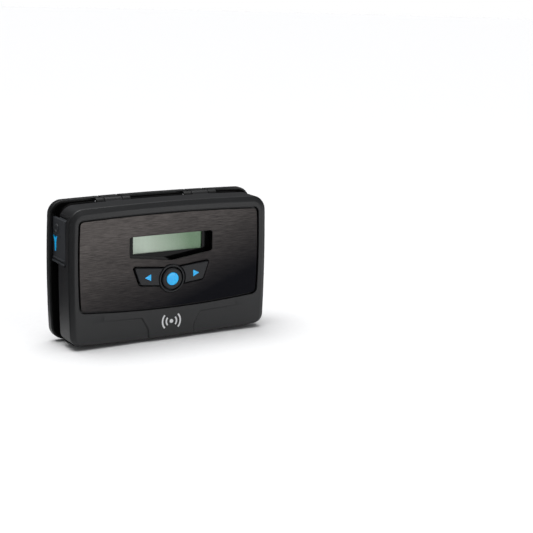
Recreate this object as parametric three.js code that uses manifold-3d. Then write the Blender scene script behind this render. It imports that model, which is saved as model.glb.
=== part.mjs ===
// A wireless pager for a desk or a wall: a front case with a brushed face plate, a small LCD and
// three keys, hinged along its top on a rear tray and held shut by a latch on each side.
// Millimetres, +Z up, X to the viewer's right, the face towards -Y. The origin is in the middle of
// the footprint, on the surface that the feet stand on.
import * as THREE from 'three';
import * as BufferGeometryUtils from 'three/addons/utils/BufferGeometryUtils.js';
import Module from 'manifold-3d';

const wasm = await Module();
wasm.setup();

// ---------------------------------------------------------------------------------------------
// Driving dimensions. Everything below is in face coordinates: x and z from the middle of the face
// plate, y = 0 on its front and growing towards the back.
// ---------------------------------------------------------------------------------------------
const FACE_Y = -14.5;
const FACE_Z = 51.1;
const GAP = 0.3;

const RIM_Y = -0.3;
const CASE_BACK_Y = 17.6;
const REAR_Y = 31.0;
const WALL = 2.2;
const FACE_BACK_Y = 3.1;

// Outlines in the x-z plane: half width a at the corners, z0 to z1, corner radius r (foot at the
// bottom corners), and how far the sides, the top and the bottom bulge at their middles.
const RIM = { a: 62.9, z0: -45.0, z1: 31.2, r: 5.5, foot: 2.6, side: 0.9, top: 1.4, bottom: 1.2 };
const BEVEL = { width: 3.2, depth: 1.5 };
const CASE = { a: 66.1, z0: -48.1, z1: 34.4, r: 8.7, foot: 5.8, side: 0.9, top: 1.4, bottom: 1.2 };
const PLATE = { a: 59.7, z0: -27.0, z1: 27.0, r: 2.2, side: 0.8, top: 1.5, bottom: 2.8 };
const FLANGE = { a: 68.2, z0: -49.6, z1: 36.1, r: 8.0, side: 1.2, top: 1.0, bottom: 1.0 };
const NECK = { a: 61.6, z0: -48.6, z1: 32.0, r: 8.0, side: 0.6, top: 1.1, bottom: 0.7 };
const SEAL = { a: 63.8, z0: -49.8, z1: 34.4, r: 9.0, side: 0.6, top: 1.1, bottom: 0.6 };

const PLATE_THICKNESS = 0.6;
const PLATE_MARGIN = 1.1;
const RECESS_FLOOR_Y = 0.9;

// Display: the opening in the face plate, with its shallow V below, and the lit window behind it.
const OPENING = { a: 28.1, top: 15.5, shoulder: 2.9, apex: -0.9 };
const WINDOW = { a: 23.5, z0: 3.7, z1: 14.6 };
const SURROUND_WALL = 1.0;
const LCD_Y = 5.3;

// Keys: a round key with a collar between two wing-shaped keys that follow the V.
const KEY_Z = -12.3;
const KEY_FRONT_Y = -1.2;
const KEY_STOP_Y = 3.5;
const KEY_FLANGE = 0.9;
const KEY_SLOPE = 0.1;
const KEY_TOP = -6.1;
const KEY_BOTTOM = -16.5;
const KEY_TIP = { top: 25.2, bottom: 21.3 };
const COLLAR = { outer: 8.6, inner: 7.5, front: -1.0 };
const SELECT_RADIUS = 6.65;
const DISC = { radius: 4.0, front: -2.0, back: -0.9 };

// Main board and what stands on it.
const BOARD = { x: 56, z0: -42, z1: 28, front: 11.2, back: 12.8 };
const BOARD_SCREWS = [[-52, 24], [52, 24], [52, -38], [-52, -38]];
const BOSS = { radius: 3.2, bore: 1.3 };
const SCREW = { shank: 1.0, head: 2.4, length: 6.4, rise: 1.6 };

// Hinge along the top: one knuckle of the front case between two of the rear tray, twice.
const HINGE = { x: 29.7, y: 21.6, z: 34.4, radius: 2.7, pin: 1.0, bore: 1.3 };
const HINGE_ARM = { front: 13.5, under: 32.1, top: 35.3 };
const KNUCKLE = { half: 5.7, side: 5.2, gap: 0.4 };

// Side latches: a plate that lifts outwards about a pin near its top.
const LATCH = { y0: 6.2, y1: 24.9, z0: 0.2, z1: 28.2, inner: 64.7, outer: 66.9 };
const LATCH_PIN = { x: 64.6, z: 26.6, radius: 0.6, bore: 0.9, barrel: 1.6 };

// Feet under the tray.
const FOOT = { x: 45, halfX: 7, halfY: 2.5, z0: -51.1, z1: -50.5, y: [12.0, 27.5] };
const SILL = { front: 8.5, top: -49.65 };

// ---------------------------------------------------------------------------------------------
// Solids
// ---------------------------------------------------------------------------------------------
const ARC_STEPS = 5;
const SIDE_STEPS = { level: 8, upright: 4 };
const ROUND = 28;
const SMALL_ROUND = 16;

function solid(geometry) {
  const bare = geometry.index ? geometry.toNonIndexed() : geometry;
  bare.deleteAttribute('normal');
  bare.deleteAttribute('uv');
  const merged = BufferGeometryUtils.mergeVertices(bare, 1e-4);
  const mesh = new wasm.Mesh({
    numProp: 3,
    vertProperties: new Float32Array(merged.attributes.position.array),
    triVerts: new Uint32Array(merged.index.array),
  });
  return new wasm.Manifold(mesh);
}

function geometryOf(body) {
  const mesh = body.getMesh();
  const geometry = new THREE.BufferGeometry();
  const positions = new Float32Array(mesh.vertProperties);
  geometry.setAttribute('position', new THREE.BufferAttribute(positions, 3));
  geometry.setIndex(new THREE.BufferAttribute(new Uint32Array(mesh.triVerts), 1));
  geometry.computeVertexNormals();
  return geometry;
}

function block(x0, x1, y0, y1, z0, z1) {
  const box = new THREE.BoxGeometry(Math.abs(x1 - x0), Math.abs(y1 - y0), Math.abs(z1 - z0));
  box.translate((x0 + x1) / 2, (y0 + y1) / 2, (z0 + z1) / 2);
  return solid(box);
}

// An outline in the x-z plane, extruded from y0 back to y1.
function prism(outline, y0, y1) {
  const shape = new THREE.Shape(outline);
  const extrusion = new THREE.ExtrudeGeometry(shape, { depth: y1 - y0, bevelEnabled: false });
  extrusion.rotateX(Math.PI / 2);
  extrusion.translate(0, y1, 0);
  return solid(extrusion);
}

// The same, with its front and back edges bevelled outwards to a larger middle.
function bevelledPrism(outline, y0, y1, bevel) {
  const shape = new THREE.Shape(outline);
  const extrusion = new THREE.ExtrudeGeometry(shape, {
    depth: y1 - y0 - 2 * bevel.depth,
    bevelEnabled: true,
    bevelThickness: bevel.depth,
    bevelSize: bevel.width,
    bevelSegments: 1,
  });
  extrusion.rotateX(Math.PI / 2);
  extrusion.translate(0, y1 - bevel.depth, 0);
  return solid(extrusion);
}

function rod(radius, y0, y1, x, z, sides = SMALL_ROUND) {
  const cylinder = new THREE.CylinderGeometry(radius, radius, y1 - y0, sides);
  cylinder.translate(x, (y0 + y1) / 2, z);
  return solid(cylinder);
}

function crossRod(radius, x0, x1, y, z, sides = ROUND) {
  const cylinder = new THREE.CylinderGeometry(radius, radius, x1 - x0, sides);
  cylinder.rotateZ(Math.PI / 2);
  cylinder.translate((x0 + x1) / 2, y, z);
  return solid(cylinder);
}

// A turned piece about the y axis through (x, z); profile points are [radius, y], front to back.
function turned(profile, x, z, sides = ROUND) {
  const points = profile.map(([radius, y]) => new THREE.Vector2(radius, y));
  const lathe = new THREE.LatheGeometry(points, sides);
  lathe.translate(x, 0, z);
  return solid(lathe);
}

function bowedRect(spec, inset = 0) {
  const a = spec.a - inset;
  const z0 = spec.z0 + inset;
  const z1 = spec.z1 - inset;
  const r = Math.max(spec.r - inset, 0.5);
  const foot = Math.max((spec.foot ?? spec.r) - inset, 0.5);
  const radii = [foot, r, r, foot];
  const middle = (z0 + z1) / 2;
  const half = (z1 - z0) / 2;
  const centres = [[a - foot, z0 + foot], [a - r, z1 - r], [r - a, z1 - r], [foot - a, z0 + foot]];
  const steps = [SIDE_STEPS.upright, SIDE_STEPS.level, SIDE_STEPS.upright, SIDE_STEPS.level];
  const points = [];
  centres.forEach(([cx, cz], corner) => {
    for (let k = 0; k <= ARC_STEPS; k += 1) {
      const angle = (corner - 1 + k / ARC_STEPS) * (Math.PI / 2);
      points.push([cx + radii[corner] * Math.cos(angle), cz + radii[corner] * Math.sin(angle)]);
    }
    const next = (corner + 1) % 4;
    const [nx, nz] = centres[next];
    const turn = corner * (Math.PI / 2);
    const start = [cx + radii[corner] * Math.cos(turn), cz + radii[corner] * Math.sin(turn)];
    const end = [nx + radii[next] * Math.cos(turn), nz + radii[next] * Math.sin(turn)];
    for (let k = 1; k < steps[corner]; k += 1) {
      const t = k / steps[corner];
      points.push([start[0] + (end[0] - start[0]) * t, start[1] + (end[1] - start[1]) * t]);
    }
  });
  return points.map(([x, z]) => {
    const u = x / a;
    const w = (z - middle) / half;
    const rise = w > 0 ? spec.top : spec.bottom;
    return new THREE.Vector2(x + spec.side * u * (1 - w * w), z + rise * w * (1 - u * u));
  });
}

// A polygon [[x, z], ...] with every corner rounded by a quadratic curve that starts `cut` away.
function softPolygon(corners, cut) {
  const steps = 4;
  const points = [];
  corners.forEach((corner, i) => {
    const here = new THREE.Vector2(...corner);
    const before = new THREE.Vector2(...corners[(i + corners.length - 1) % corners.length]);
    const after = new THREE.Vector2(...corners[(i + 1) % corners.length]);
    const start = here.clone().lerp(before, cut / here.distanceTo(before));
    const end = here.clone().lerp(after, cut / here.distanceTo(after));
    points.push(...new THREE.QuadraticBezierCurve(start, here, end).getPoints(steps));
  });
  return points;
}

// The same outline moved inwards on every side, as a new outline's dimensions.
function shrunk(spec, by) {
  return { ...spec, a: spec.a - by, z0: spec.z0 + by, z1: spec.z1 - by, r: spec.r - by };
}

const pager = new THREE.Group();
const assembly = new THREE.Group();
assembly.position.set(0, FACE_Y, FACE_Z);
pager.add(assembly);

function add(name, body, material) {
  const mesh = new THREE.Mesh(geometryOf(body), material.clone());
  mesh.name = name;
  assembly.add(mesh);
}

function finish(color, roughness, metalness = 0) {
  return new THREE.MeshStandardMaterial({ color, roughness, metalness });
}

const caseBlack = finish(0x1c1d20, 0.42);
const trayBlack = finish(0x141517, 0.35);
const brushedPlate = finish(0x3a3836, 0.38, 0.9);
const glossBlack = finish(0x060607, 0.12);
const keyGrey = finish(0x35373b, 0.45);
const azure = finish(0x1277d4, 0.3);
const rubber = finish(0x0a0a0b, 0.85);
const steel = finish(0xb4b7bb, 0.3, 1.0);
const lcdGreen = finish(0xa9b9a4, 0.25);
const boardGreen = finish(0x14503a, 0.5);
const chipBlack = finish(0x17181a, 0.55);
const tin = finish(0xc3c6c8, 0.35, 0.9);
const cellBlue = finish(0x2b3f66, 0.5);

// ---------------------------------------------------------------------------------------------
// Shared outlines
// ---------------------------------------------------------------------------------------------
const SIDES = [['left', -1], ['right', 1]];

function openingOutline(grow) {
  const { a, top, shoulder, apex } = OPENING;
  return softPolygon([
    [-a - grow, top + grow],
    [a + grow, top + grow],
    [a + grow, shoulder - grow],
    [0, apex - grow],
    [-a - grow, shoulder - grow],
  ], 1.4 + grow / 2);
}

// A wing key's outline on one side, grown by `grow`; its inner end is cut round the collar later.
function wingOutline(sign, grow) {
  const inner = 5.0;
  const zTop = (x) => KEY_TOP + KEY_SLOPE * x + grow;
  const zBottom = (x) => KEY_BOTTOM + KEY_SLOPE * x - grow;
  const tipTop = KEY_TIP.top + grow;
  const tipBottom = KEY_TIP.bottom + grow;
  return softPolygon([
    [sign * inner, zBottom(inner)],
    [sign * tipBottom, zBottom(tipBottom)],
    [sign * tipTop, zTop(tipTop)],
    [sign * inner, zTop(inner)],
  ], 1.3);
}

function keyHoles(y0, y1, wingGrow, roundRadius) {
  return rod(roundRadius, y0, y1, 0, KEY_Z, ROUND)
    .add(prism(wingOutline(-1, wingGrow), y0, y1))
    .add(prism(wingOutline(1, wingGrow), y0, y1));
}

// ---------------------------------------------------------------------------------------------
// Front case
// ---------------------------------------------------------------------------------------------
function caseShell() {
  const behind = block(-90, 90, CASE_BACK_Y, CASE_BACK_Y + 20, -90, 90);
  const bevelled = bevelledPrism(bowedRect(RIM), RIM_Y, CASE_BACK_Y + 4, BEVEL).subtract(behind);
  const apron = prism(bowedRect(CASE), RIM_Y, FACE_BACK_Y)
    .intersect(block(-RIM.a, RIM.a, -5, 10, -60, -40));
  const cavity = prism(bowedRect(CASE, WALL), FACE_BACK_Y, CASE_BACK_Y + 1);
  return bevelled.add(apron).subtract(cavity);
}

// The two shallow pockets pressed into the apron beside its middle, deepest at their inner ends.
const POCKET = {
  foot: 15.0, waist: 15.6, waistZ: -43.0, shoulder: 20.0, shoulderZ: -35.1, end: 55.0, endZ: -33.6,
};

function apronPocket(sign) {
  const below = CASE.z0 - 3.9;
  const outline = softPolygon([
    [sign * POCKET.foot, below],
    [sign * POCKET.waist, POCKET.waistZ],
    [sign * POCKET.shoulder, POCKET.shoulderZ],
    [sign * POCKET.end, POCKET.endZ],
    [sign * POCKET.end, below],
  ], 1.2);
  const slant = THREE.MathUtils.degToRad(0.9);
  const shape = new THREE.Shape(outline);
  const cut = new THREE.ExtrudeGeometry(shape, { depth: 4, bevelEnabled: false });
  cut.rotateX(Math.PI / 2);
  cut.rotateZ(sign * -slant);
  cut.translate(0, RIM_Y + 0.85, 0);
  return solid(cut);
}

function latchHousing(sign) {
  const wall = block(sign * 60.4, sign * 66.0, FACE_BACK_Y - 0.5, CASE_BACK_Y, -2.2, 30.4);
  return wall.intersect(prism(bowedRect(CASE, 0.5), 0, CASE_BACK_Y));
}

function latchPocket(sign) {
  const { y0, z0, z1, inner } = LATCH;
  const end = CASE_BACK_Y + 1;
  const { x, z, bore, barrel } = LATCH_PIN;
  return block(sign * (inner - GAP), sign * 72, y0 - 0.4, end, z0 - 0.4, z1 + 0.7)
    .add(rod(barrel + 0.4, y0 - 0.4, end, sign * x, z, ROUND))
    .add(rod(bore, y0 - 1.8, end, sign * x, z));
}

function hingeArm(sign) {
  const cx = sign * HINGE.x;
  const x0 = cx - KNUCKLE.half;
  const x1 = cx + KNUCKLE.half;
  const arm = block(x0, x1, HINGE_ARM.front, HINGE.y, HINGE_ARM.under, HINGE_ARM.top);
  const lead = block(x0 - 1, x1 + 1, 0, CASE_BACK_Y - 0.2, CASE.z1 - 14, CASE.z1 + 26);
  const inside = prism(bowedRect(CASE, 0.4), HINGE_ARM.front - 1.5, CASE_BACK_Y);
  const rooted = arm.intersect(inside).add(arm.subtract(lead));
  return rooted
    .add(crossRod(HINGE.radius, x0, x1, HINGE.y, HINGE.z))
    .subtract(crossRod(HINGE.bore, x0 - 2, x1 + 2, HINGE.y, HINGE.z, SMALL_ROUND));
}

function frontCover() {
  let cover = caseShell();
  BOARD_SCREWS.forEach(([x, z]) => {
    cover = cover.add(rod(BOSS.radius, FACE_BACK_Y - 0.5, BOARD.front - GAP, x, z));
  });
  SIDES.forEach(([, sign]) => {
    cover = cover.add(latchHousing(sign)).add(hingeArm(sign));
  });
  cover = cover
    .subtract(prism(bowedRect(PLATE, -PLATE_MARGIN), -5, RECESS_FLOOR_Y))
    .subtract(prism(openingOutline(SURROUND_WALL + GAP), -5, 5))
    .subtract(keyHoles(-5, 5, 0.6, SELECT_RADIUS + 0.5));
  BOARD_SCREWS.forEach(([x, z]) => {
    cover = cover.subtract(rod(BOSS.bore, FACE_BACK_Y + 0.6, BOARD.front + 1, x, z));
  });
  SIDES.forEach(([, sign]) => {
    cover = cover.subtract(latchPocket(sign)).subtract(apronPocket(sign));
  });
  return cover;
}

function facePlate() {
  return prism(bowedRect(PLATE), 0, PLATE_THICKNESS)
    .subtract(prism(openingOutline(0), -1, 2))
    .subtract(keyHoles(-1, 2, 0.75, COLLAR.outer + 0.4));
}

function displaySurround() {
  return prism(openingOutline(SURROUND_WALL), PLATE_THICKNESS + GAP, LCD_Y - GAP)
    .subtract(prism(openingOutline(0), 0, LCD_Y));
}

// ---------------------------------------------------------------------------------------------
// Display
// ---------------------------------------------------------------------------------------------
const LCD_FRAME = { x: 31, z0: -4.2, z1: 18.6, back: 9.6 };
const LCD_CELL = { x: 26.5, z0: 1.4, z1: 17.0 };

function lcdFrame() {
  const { x, z0, z1, back } = LCD_FRAME;
  const { x: cellX, z0: cell0, z1: cell1 } = LCD_CELL;
  return block(-x, x, LCD_Y, back, z0, z1)
    .subtract(block(-WINDOW.a, WINDOW.a, LCD_Y - 1, back + 1, WINDOW.z0, WINDOW.z1))
    .subtract(block(-cellX, cellX, LCD_Y + 0.6, back + 1, cell0, cell1));
}

function lcdLayer(y0, y1) {
  const { x, z0, z1 } = LCD_CELL;
  return block(GAP - x, x - GAP, y0, y1, z0 + GAP, z1 - GAP);
}

// ---------------------------------------------------------------------------------------------
// Keys and switches
// ---------------------------------------------------------------------------------------------
const SWITCH = { half: 3.1, front: 7.6, stem: 5.9, stemRadius: 1.7 };
const WING_CENTRE = { x: 16.2, z: -10.2 };
const MARK = { tip: 18.6, base: 14.4, half: 2.1, thickness: 0.4 };

function markOutline(sign, grow) {
  const { tip, base, half } = MARK;
  return [
    new THREE.Vector2(sign * (tip + 1.8 * grow), WING_CENTRE.z),
    new THREE.Vector2(sign * (base - grow), WING_CENTRE.z + half + 1.6 * grow),
    new THREE.Vector2(sign * (base - grow), WING_CENTRE.z - half - 1.6 * grow),
  ];
}

function wingKey(sign) {
  const cap = prism(wingOutline(sign, 0), KEY_FRONT_Y, KEY_STOP_Y)
    .subtract(rod(COLLAR.outer + 0.5, -5, 5, 0, KEY_Z, ROUND));
  const foot = prism(wingOutline(sign, KEY_FLANGE), KEY_STOP_Y, KEY_STOP_Y + 0.9)
    .subtract(rod(COLLAR.outer + 0.5, 0, 9, 0, KEY_Z, ROUND));
  const post = rod(1.6, KEY_STOP_Y + 0.8, 5.0, sign * WING_CENTRE.x, WING_CENTRE.z);
  const pocket = prism(markOutline(sign, GAP), -5, KEY_FRONT_Y + MARK.thickness + 0.2);
  return cap.add(foot).add(post).subtract(pocket);
}

function wingMark(sign) {
  return prism(markOutline(sign, 0), KEY_FRONT_Y - 0.1, KEY_FRONT_Y + MARK.thickness - 0.1);
}

function selectCollar() {
  const { outer, inner, front } = COLLAR;
  const back = RECESS_FLOOR_Y - 0.2;
  return turned([
    [inner, back], [inner, front + 0.4], [inner + 0.3, front],
    [outer - 0.35, front], [outer, front + 0.6], [outer, back], [inner, back],
  ], 0, KEY_Z);
}

function selectCap() {
  const r = SELECT_RADIUS;
  const pocket = DISC.radius + GAP;
  return turned([
    [0, DISC.back + GAP], [pocket, DISC.back + GAP], [pocket, -1.6], [r - 0.5, -1.5],
    [r, -1.0], [r, KEY_STOP_Y], [r + KEY_FLANGE, KEY_STOP_Y],
    [r + KEY_FLANGE, KEY_STOP_Y + 0.9], [1.6, KEY_STOP_Y + 0.9], [1.6, 5.0], [0, 5.0],
  ], 0, KEY_Z);
}

function selectDisc() {
  const { radius, front, back } = DISC;
  return turned([
    [0, front], [radius * 0.5, front + 0.05], [radius * 0.85, front + 0.2],
    [radius, front + 0.5], [radius, back], [0, back],
  ], 0, KEY_Z, 24);
}

function tactSwitch(x, z) {
  const { half, front, stem, stemRadius } = SWITCH;
  return block(x - half, x + half, front, BOARD.front - GAP, z - half, z + half)
    .add(rod(stemRadius, stem, front + 0.5, x, z, 12));
}

// ---------------------------------------------------------------------------------------------
// Board
// ---------------------------------------------------------------------------------------------
const ON_BOARD = BOARD.back + GAP;
const BATTERY = { x0: -45, x1: 0, z0: -33, z1: -3, thickness: 6.0 };
const HOLDER = { rim: 1.8, floor: 1.0, height: 4.2, gapX0: -34, gapX1: -20 };
const CONTROLLER = { x0: -6, x1: 8, z0: 6, z1: 20, height: 1.6 };
const CAN = { x0: 14, x1: 42, z0: -2, z1: 17, height: 2.8, step: 2.0 };
const CRYSTAL = { x0: -24, x1: -13, z0: 8, z1: 12.6, height: 3.4 };
const ANTENNA = { x0: -46, x1: -8, z: 23.4, radius: 1.6, rise: 2.2 };
const SOUNDER = { x: 40, z: -26, radius: 6.2, height: 6.4, hole: 1.2 };
const CAPACITORS = [[14, -16], [23, -16], [14, -26]];
const HEADER = { half: 20, z0: 19.4, z1: 22.0 };

function mainBoard() {
  const { x, z0, z1, front, back } = BOARD;
  let board = prism(softPolygon([[-x, z0], [x, z0], [x, z1], [-x, z1]], 2.5), front, back);
  BOARD_SCREWS.forEach(([sx, sz]) => {
    board = board.subtract(rod(1.4, front - 1, back + 1, sx, sz));
  });
  return board;
}

function boardScrew(x, z) {
  const { shank, head, length, rise } = SCREW;
  const seat = ON_BOARD;
  return turned([
    [0, seat - length], [shank * 0.6, seat - length], [shank, seat - length + 0.8], [shank, seat],
    [head, seat], [head, seat + rise * 0.56], [head * 0.7, seat + rise], [0, seat + rise],
  ], x, z, SMALL_ROUND);
}

function batteryHolder() {
  const { x0, x1, z0, z1 } = BATTERY;
  const { rim, floor, height, gapX0, gapX1 } = HOLDER;
  const base = ON_BOARD + floor;
  return block(x0 - rim, x1 + rim, ON_BOARD, ON_BOARD + height, z0 - rim, z1 + rim)
    .subtract(block(x0 - GAP, x1 + GAP, base, base + 8, z0 - GAP, z1 + GAP))
    .subtract(block(gapX0, gapX1, base, base + 8, z0 - 9, z1 + 9));
}

function batteryPack() {
  const { x0, x1, z0, z1, thickness } = BATTERY;
  const y0 = ON_BOARD + HOLDER.floor + GAP;
  const outline = softPolygon([[x0, z0], [x1, z0], [x1, z1], [x0, z1]], 2.0);
  return prism(outline, y0, y0 + thickness);
}

function boardPart({ x0, x1, z0, z1, height }) {
  return block(x0, x1, ON_BOARD, ON_BOARD + height, z0, z1);
}

function radioCan() {
  const { x0, x1, z0, z1, height, step } = CAN;
  const top = ON_BOARD + height;
  return block(x0, x1, ON_BOARD, top, z0, z1)
    .add(block(x0 + step, x1 - step, top - 0.2, top + 0.3, z0 + step, z1 - step));
}

function sounder() {
  const { x, z, radius, height, hole } = SOUNDER;
  const top = ON_BOARD + height;
  return turned([
    [0, ON_BOARD], [radius, ON_BOARD], [radius, top - 0.6], [radius - 0.6, top],
    [hole, top], [hole, top - 0.8], [0, top - 0.8],
  ], x, z, ROUND);
}

function capacitor(x, z) {
  return turned([
    [0, ON_BOARD], [3.15, ON_BOARD], [3.15, ON_BOARD + 0.6], [2.9, ON_BOARD + 0.9],
    [3.15, ON_BOARD + 1.2], [3.15, ON_BOARD + 6.5], [2.9, ON_BOARD + 6.9],
    [2.2, ON_BOARD + 6.9], [2.0, ON_BOARD + 6.6], [0, ON_BOARD + 6.6],
  ], x, z, SMALL_ROUND);
}

// ---------------------------------------------------------------------------------------------
// Rear tray
// ---------------------------------------------------------------------------------------------
const TRAY = { neckFront: 18.0, flangeFront: 25.4, floorFront: 28.4, wall: 2.0, edge: 1.4 };
const TRAY_GROOVE = { offset: 6.3, width: 1.2, z0: 36.0 };
const KEYHOLE = { x: 38, z: 8, seat: 4.0, slot: 2.0, slotTop: 15, depth: 1.3 };

function hingeNotch(sign, half, y0, y1, z0) {
  const cx = sign * HINGE.x;
  return block(cx - half, cx + half, y0, y1, z0, 60);
}

function hingeBore(cx) {
  const half = KNUCKLE.half + KNUCKLE.gap + KNUCKLE.side + 2.7;
  return crossRod(HINGE.bore, cx - half, cx + half, HINGE.y, HINGE.z, SMALL_ROUND);
}

function trayKnuckles(sign) {
  const cx = sign * HINGE.x;
  const inner = KNUCKLE.half + KNUCKLE.gap;
  const outer = inner + KNUCKLE.side;
  let lugs = null;
  [-1, 1].forEach((end) => {
    const x0 = cx + (end < 0 ? -outer : inner);
    const x1 = x0 + KNUCKLE.side;
    const lug = crossRod(HINGE.radius, x0, x1, HINGE.y, HINGE.z)
      .add(block(x0, x1, HINGE.y - 1.8, TRAY.floorFront + 0.5, HINGE.z - 3.6, HINGE.z + 0.6));
    lugs = lugs ? lugs.add(lug) : lug;
  });
  return lugs;
}

function rearTray() {
  const flangeBevel = { width: TRAY.edge, depth: TRAY.edge };
  const flangeFace = shrunk(FLANGE, flangeBevel.width);
  const ahead = block(-90, 90, 0, TRAY.flangeFront, -90, 90);
  const flange = bevelledPrism(bowedRect(flangeFace), 20, REAR_Y, flangeBevel).subtract(ahead);
  const neck = prism(bowedRect(NECK), TRAY.neckFront, TRAY.floorFront);
  const inside = prism(bowedRect(NECK, TRAY.wall), 0, TRAY.floorFront);
  const sill = prism(bowedRect(FLANGE), SILL.front, TRAY.flangeFront + 1)
    .intersect(block(-90, 90, 0, 40, -60, SILL.top));
  let tray = flange.add(neck).subtract(inside).add(sill);
  FOOT.y.forEach((y) => {
    [-1, 1].forEach((side) => {
      const x = side * FOOT.x;
      const halfX = FOOT.halfX + 1;
      const halfY = FOOT.halfY + 0.7;
      tray = tray.add(block(x - halfX, x + halfX, y - halfY, y + halfY, FOOT.z1 + 0.1, SILL.top));
    });
  });
  SIDES.forEach(([, sign]) => {
    const full = KNUCKLE.half + 2 * KNUCKLE.gap + KNUCKLE.side;
    tray = tray
      .subtract(hingeNotch(sign, full, 0, TRAY.flangeFront, HINGE.z - 3.2))
      .add(trayKnuckles(sign))
      .subtract(hingeBore(sign * HINGE.x))
      .subtract(keyhole(sign));
    [-1, 1].forEach((end) => {
      const x = sign * HINGE.x + end * TRAY_GROOVE.offset;
      const half = TRAY_GROOVE.width / 2;
      tray = tray.subtract(block(x - half, x + half, 20, REAR_Y + 1, TRAY_GROOVE.z0, 60));
    });
  });
  return tray;
}

// A blind keyhole pressed into the back: a round seat that a screw head fits, and the slot above.
function keyhole(sign) {
  const { z, seat, slot, slotTop, depth } = KEYHOLE;
  const x = sign * KEYHOLE.x;
  const y0 = REAR_Y - depth;
  return rod(seat, y0, REAR_Y + 1, x, z, ROUND)
    .add(block(x - slot, x + slot, y0, REAR_Y + 1, z, slotTop));
}

// The weather strip between the case and the tray, in three lengths between the hinge knuckles.
function caseSeal(x0, x1) {
  const front = CASE_BACK_Y + 0.4;
  const back = TRAY.flangeFront - GAP;
  const skirt = shrunk(FLANGE, 1.2);
  const bore = shrunk(NECK, -GAP);
  let seal = prism(bowedRect(SEAL), front, back)
    .add(prism(bowedRect(skirt), back - 0.8, back))
    .subtract(prism(bowedRect(bore), 0, 40))
    .subtract(block(-90, 90, 0, 40, -60, SILL.top + GAP));
  SIDES.forEach(([, sign]) => {
    const full = KNUCKLE.half + 3 * KNUCKLE.gap + KNUCKLE.side;
    seal = seal
      .subtract(hingeNotch(sign, full, 0, 40, 10))
      .subtract(rod(LATCH_PIN.barrel + 1.4, 0, back - 1.1, sign * LATCH_PIN.x, LATCH_PIN.z, ROUND))
      .subtract(block(sign * 64.5, sign * 75, 0, 40, LATCH.z0 - 0.5, LATCH.z1 + 0.9));
  });
  return seal.intersect(block(x0, x1, 0, 40, -90, 90));
}

// ---------------------------------------------------------------------------------------------
// Side latches
// ---------------------------------------------------------------------------------------------
const LATCH_RING = { y: 18.2, z: 21.2, outer: 2.6, inner: 1.8 };
const ARROW = {
  y: 21.4, tail: 6.8, tip: 0.6, waist: 9.5, half: 1.2, neck: 12.5, wing: 3.0, head: 16.4, notch: 1.3,
  depth: 0.45,
};

// A piece drawn in the y-z plane on the side wall, extruded between two distances from the middle.
function sidePrism(outline, sign, x0, x1) {
  const shape = new THREE.Shape(outline);
  const extrusion = new THREE.ExtrudeGeometry(shape, { depth: x1 - x0, bevelEnabled: false });
  extrusion.rotateX(Math.PI / 2);
  extrusion.rotateZ(Math.PI / 2);
  extrusion.translate(sign > 0 ? x0 : -x1, 0, 0);
  return solid(extrusion);
}

// The mark flares to a notched top above a narrow tail.
function arrowOutline(grow) {
  const { y, tail, tip, waist, half, neck, wing, head, notch } = ARROW;
  return softPolygon([
    [y - tip - grow, tail - grow],
    [y + tip + grow, tail - grow],
    [y + half + grow, waist],
    [y + half + grow, neck],
    [y + wing + 1.4 * grow, head + grow],
    [y, head - notch + grow],
    [y - wing - 1.4 * grow, head + grow],
    [y - half - grow, neck],
    [y - half - grow, waist],
  ], 0.25);
}

function sideRod(radius, sign, x0, x1) {
  return crossRod(radius, Math.min(sign * x0, sign * x1), Math.max(sign * x0, sign * x1),
    LATCH_RING.y, LATCH_RING.z, 24);
}

function sideLatch(sign) {
  const { y0, y1, z0, z1, inner, outer } = LATCH;
  const { x, z, bore, barrel } = LATCH_PIN;
  const plate = block(sign * inner, sign * outer, y0, y1, z0, z1 - 1.0);
  const lip = block(sign * inner, sign * (outer + 1.1), y0, y1, z0, z0 + 1.2)
    .add(block(sign * inner, sign * (outer + 0.7), y0, y1, z0 + 2.2, z0 + 3.2));
  const knuckle = rod(barrel, y0, CASE_BACK_Y - 0.3, sign * x, z, ROUND);
  const sunk = outer + 0.2;
  const raised = outer + 0.7;
  const disc = sideRod(LATCH_RING.outer, sign, outer - 0.5, raised);
  const dimple = sideRod(LATCH_RING.inner, sign, sunk, raised + 1);
  const arrow = sidePrism(arrowOutline(GAP), sign, outer - ARROW.depth - GAP, outer + 1);
  return plate.add(lip).add(knuckle).add(disc).subtract(dimple).subtract(arrow)
    .subtract(rod(bore, 0, REAR_Y, sign * x, z));
}

function latchArrow(sign) {
  const { outer } = LATCH;
  return sidePrism(arrowOutline(0), sign, outer - ARROW.depth, outer + 0.05);
}

// A leaf spring that lies in the pocket behind the latch plate.
function latchSpring(sign) {
  const thickness = 0.25;
  const line = [[62.2, 1.5], [62.6, 8.0], [63.6, 13.0], [63.9, 17.5]];
  const outer = line.map(([x, z]) => new THREE.Vector2(sign * (x + thickness), z));
  const inner = line.map(([x, z]) => new THREE.Vector2(sign * x, z)).reverse();
  return prism([...outer, ...inner], 9.0, 13.0);
}

function springSlot(sign) {
  return block(sign * 61.8, sign * 65, 8.6, 13.4, 0.9, 18.2);
}

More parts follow.
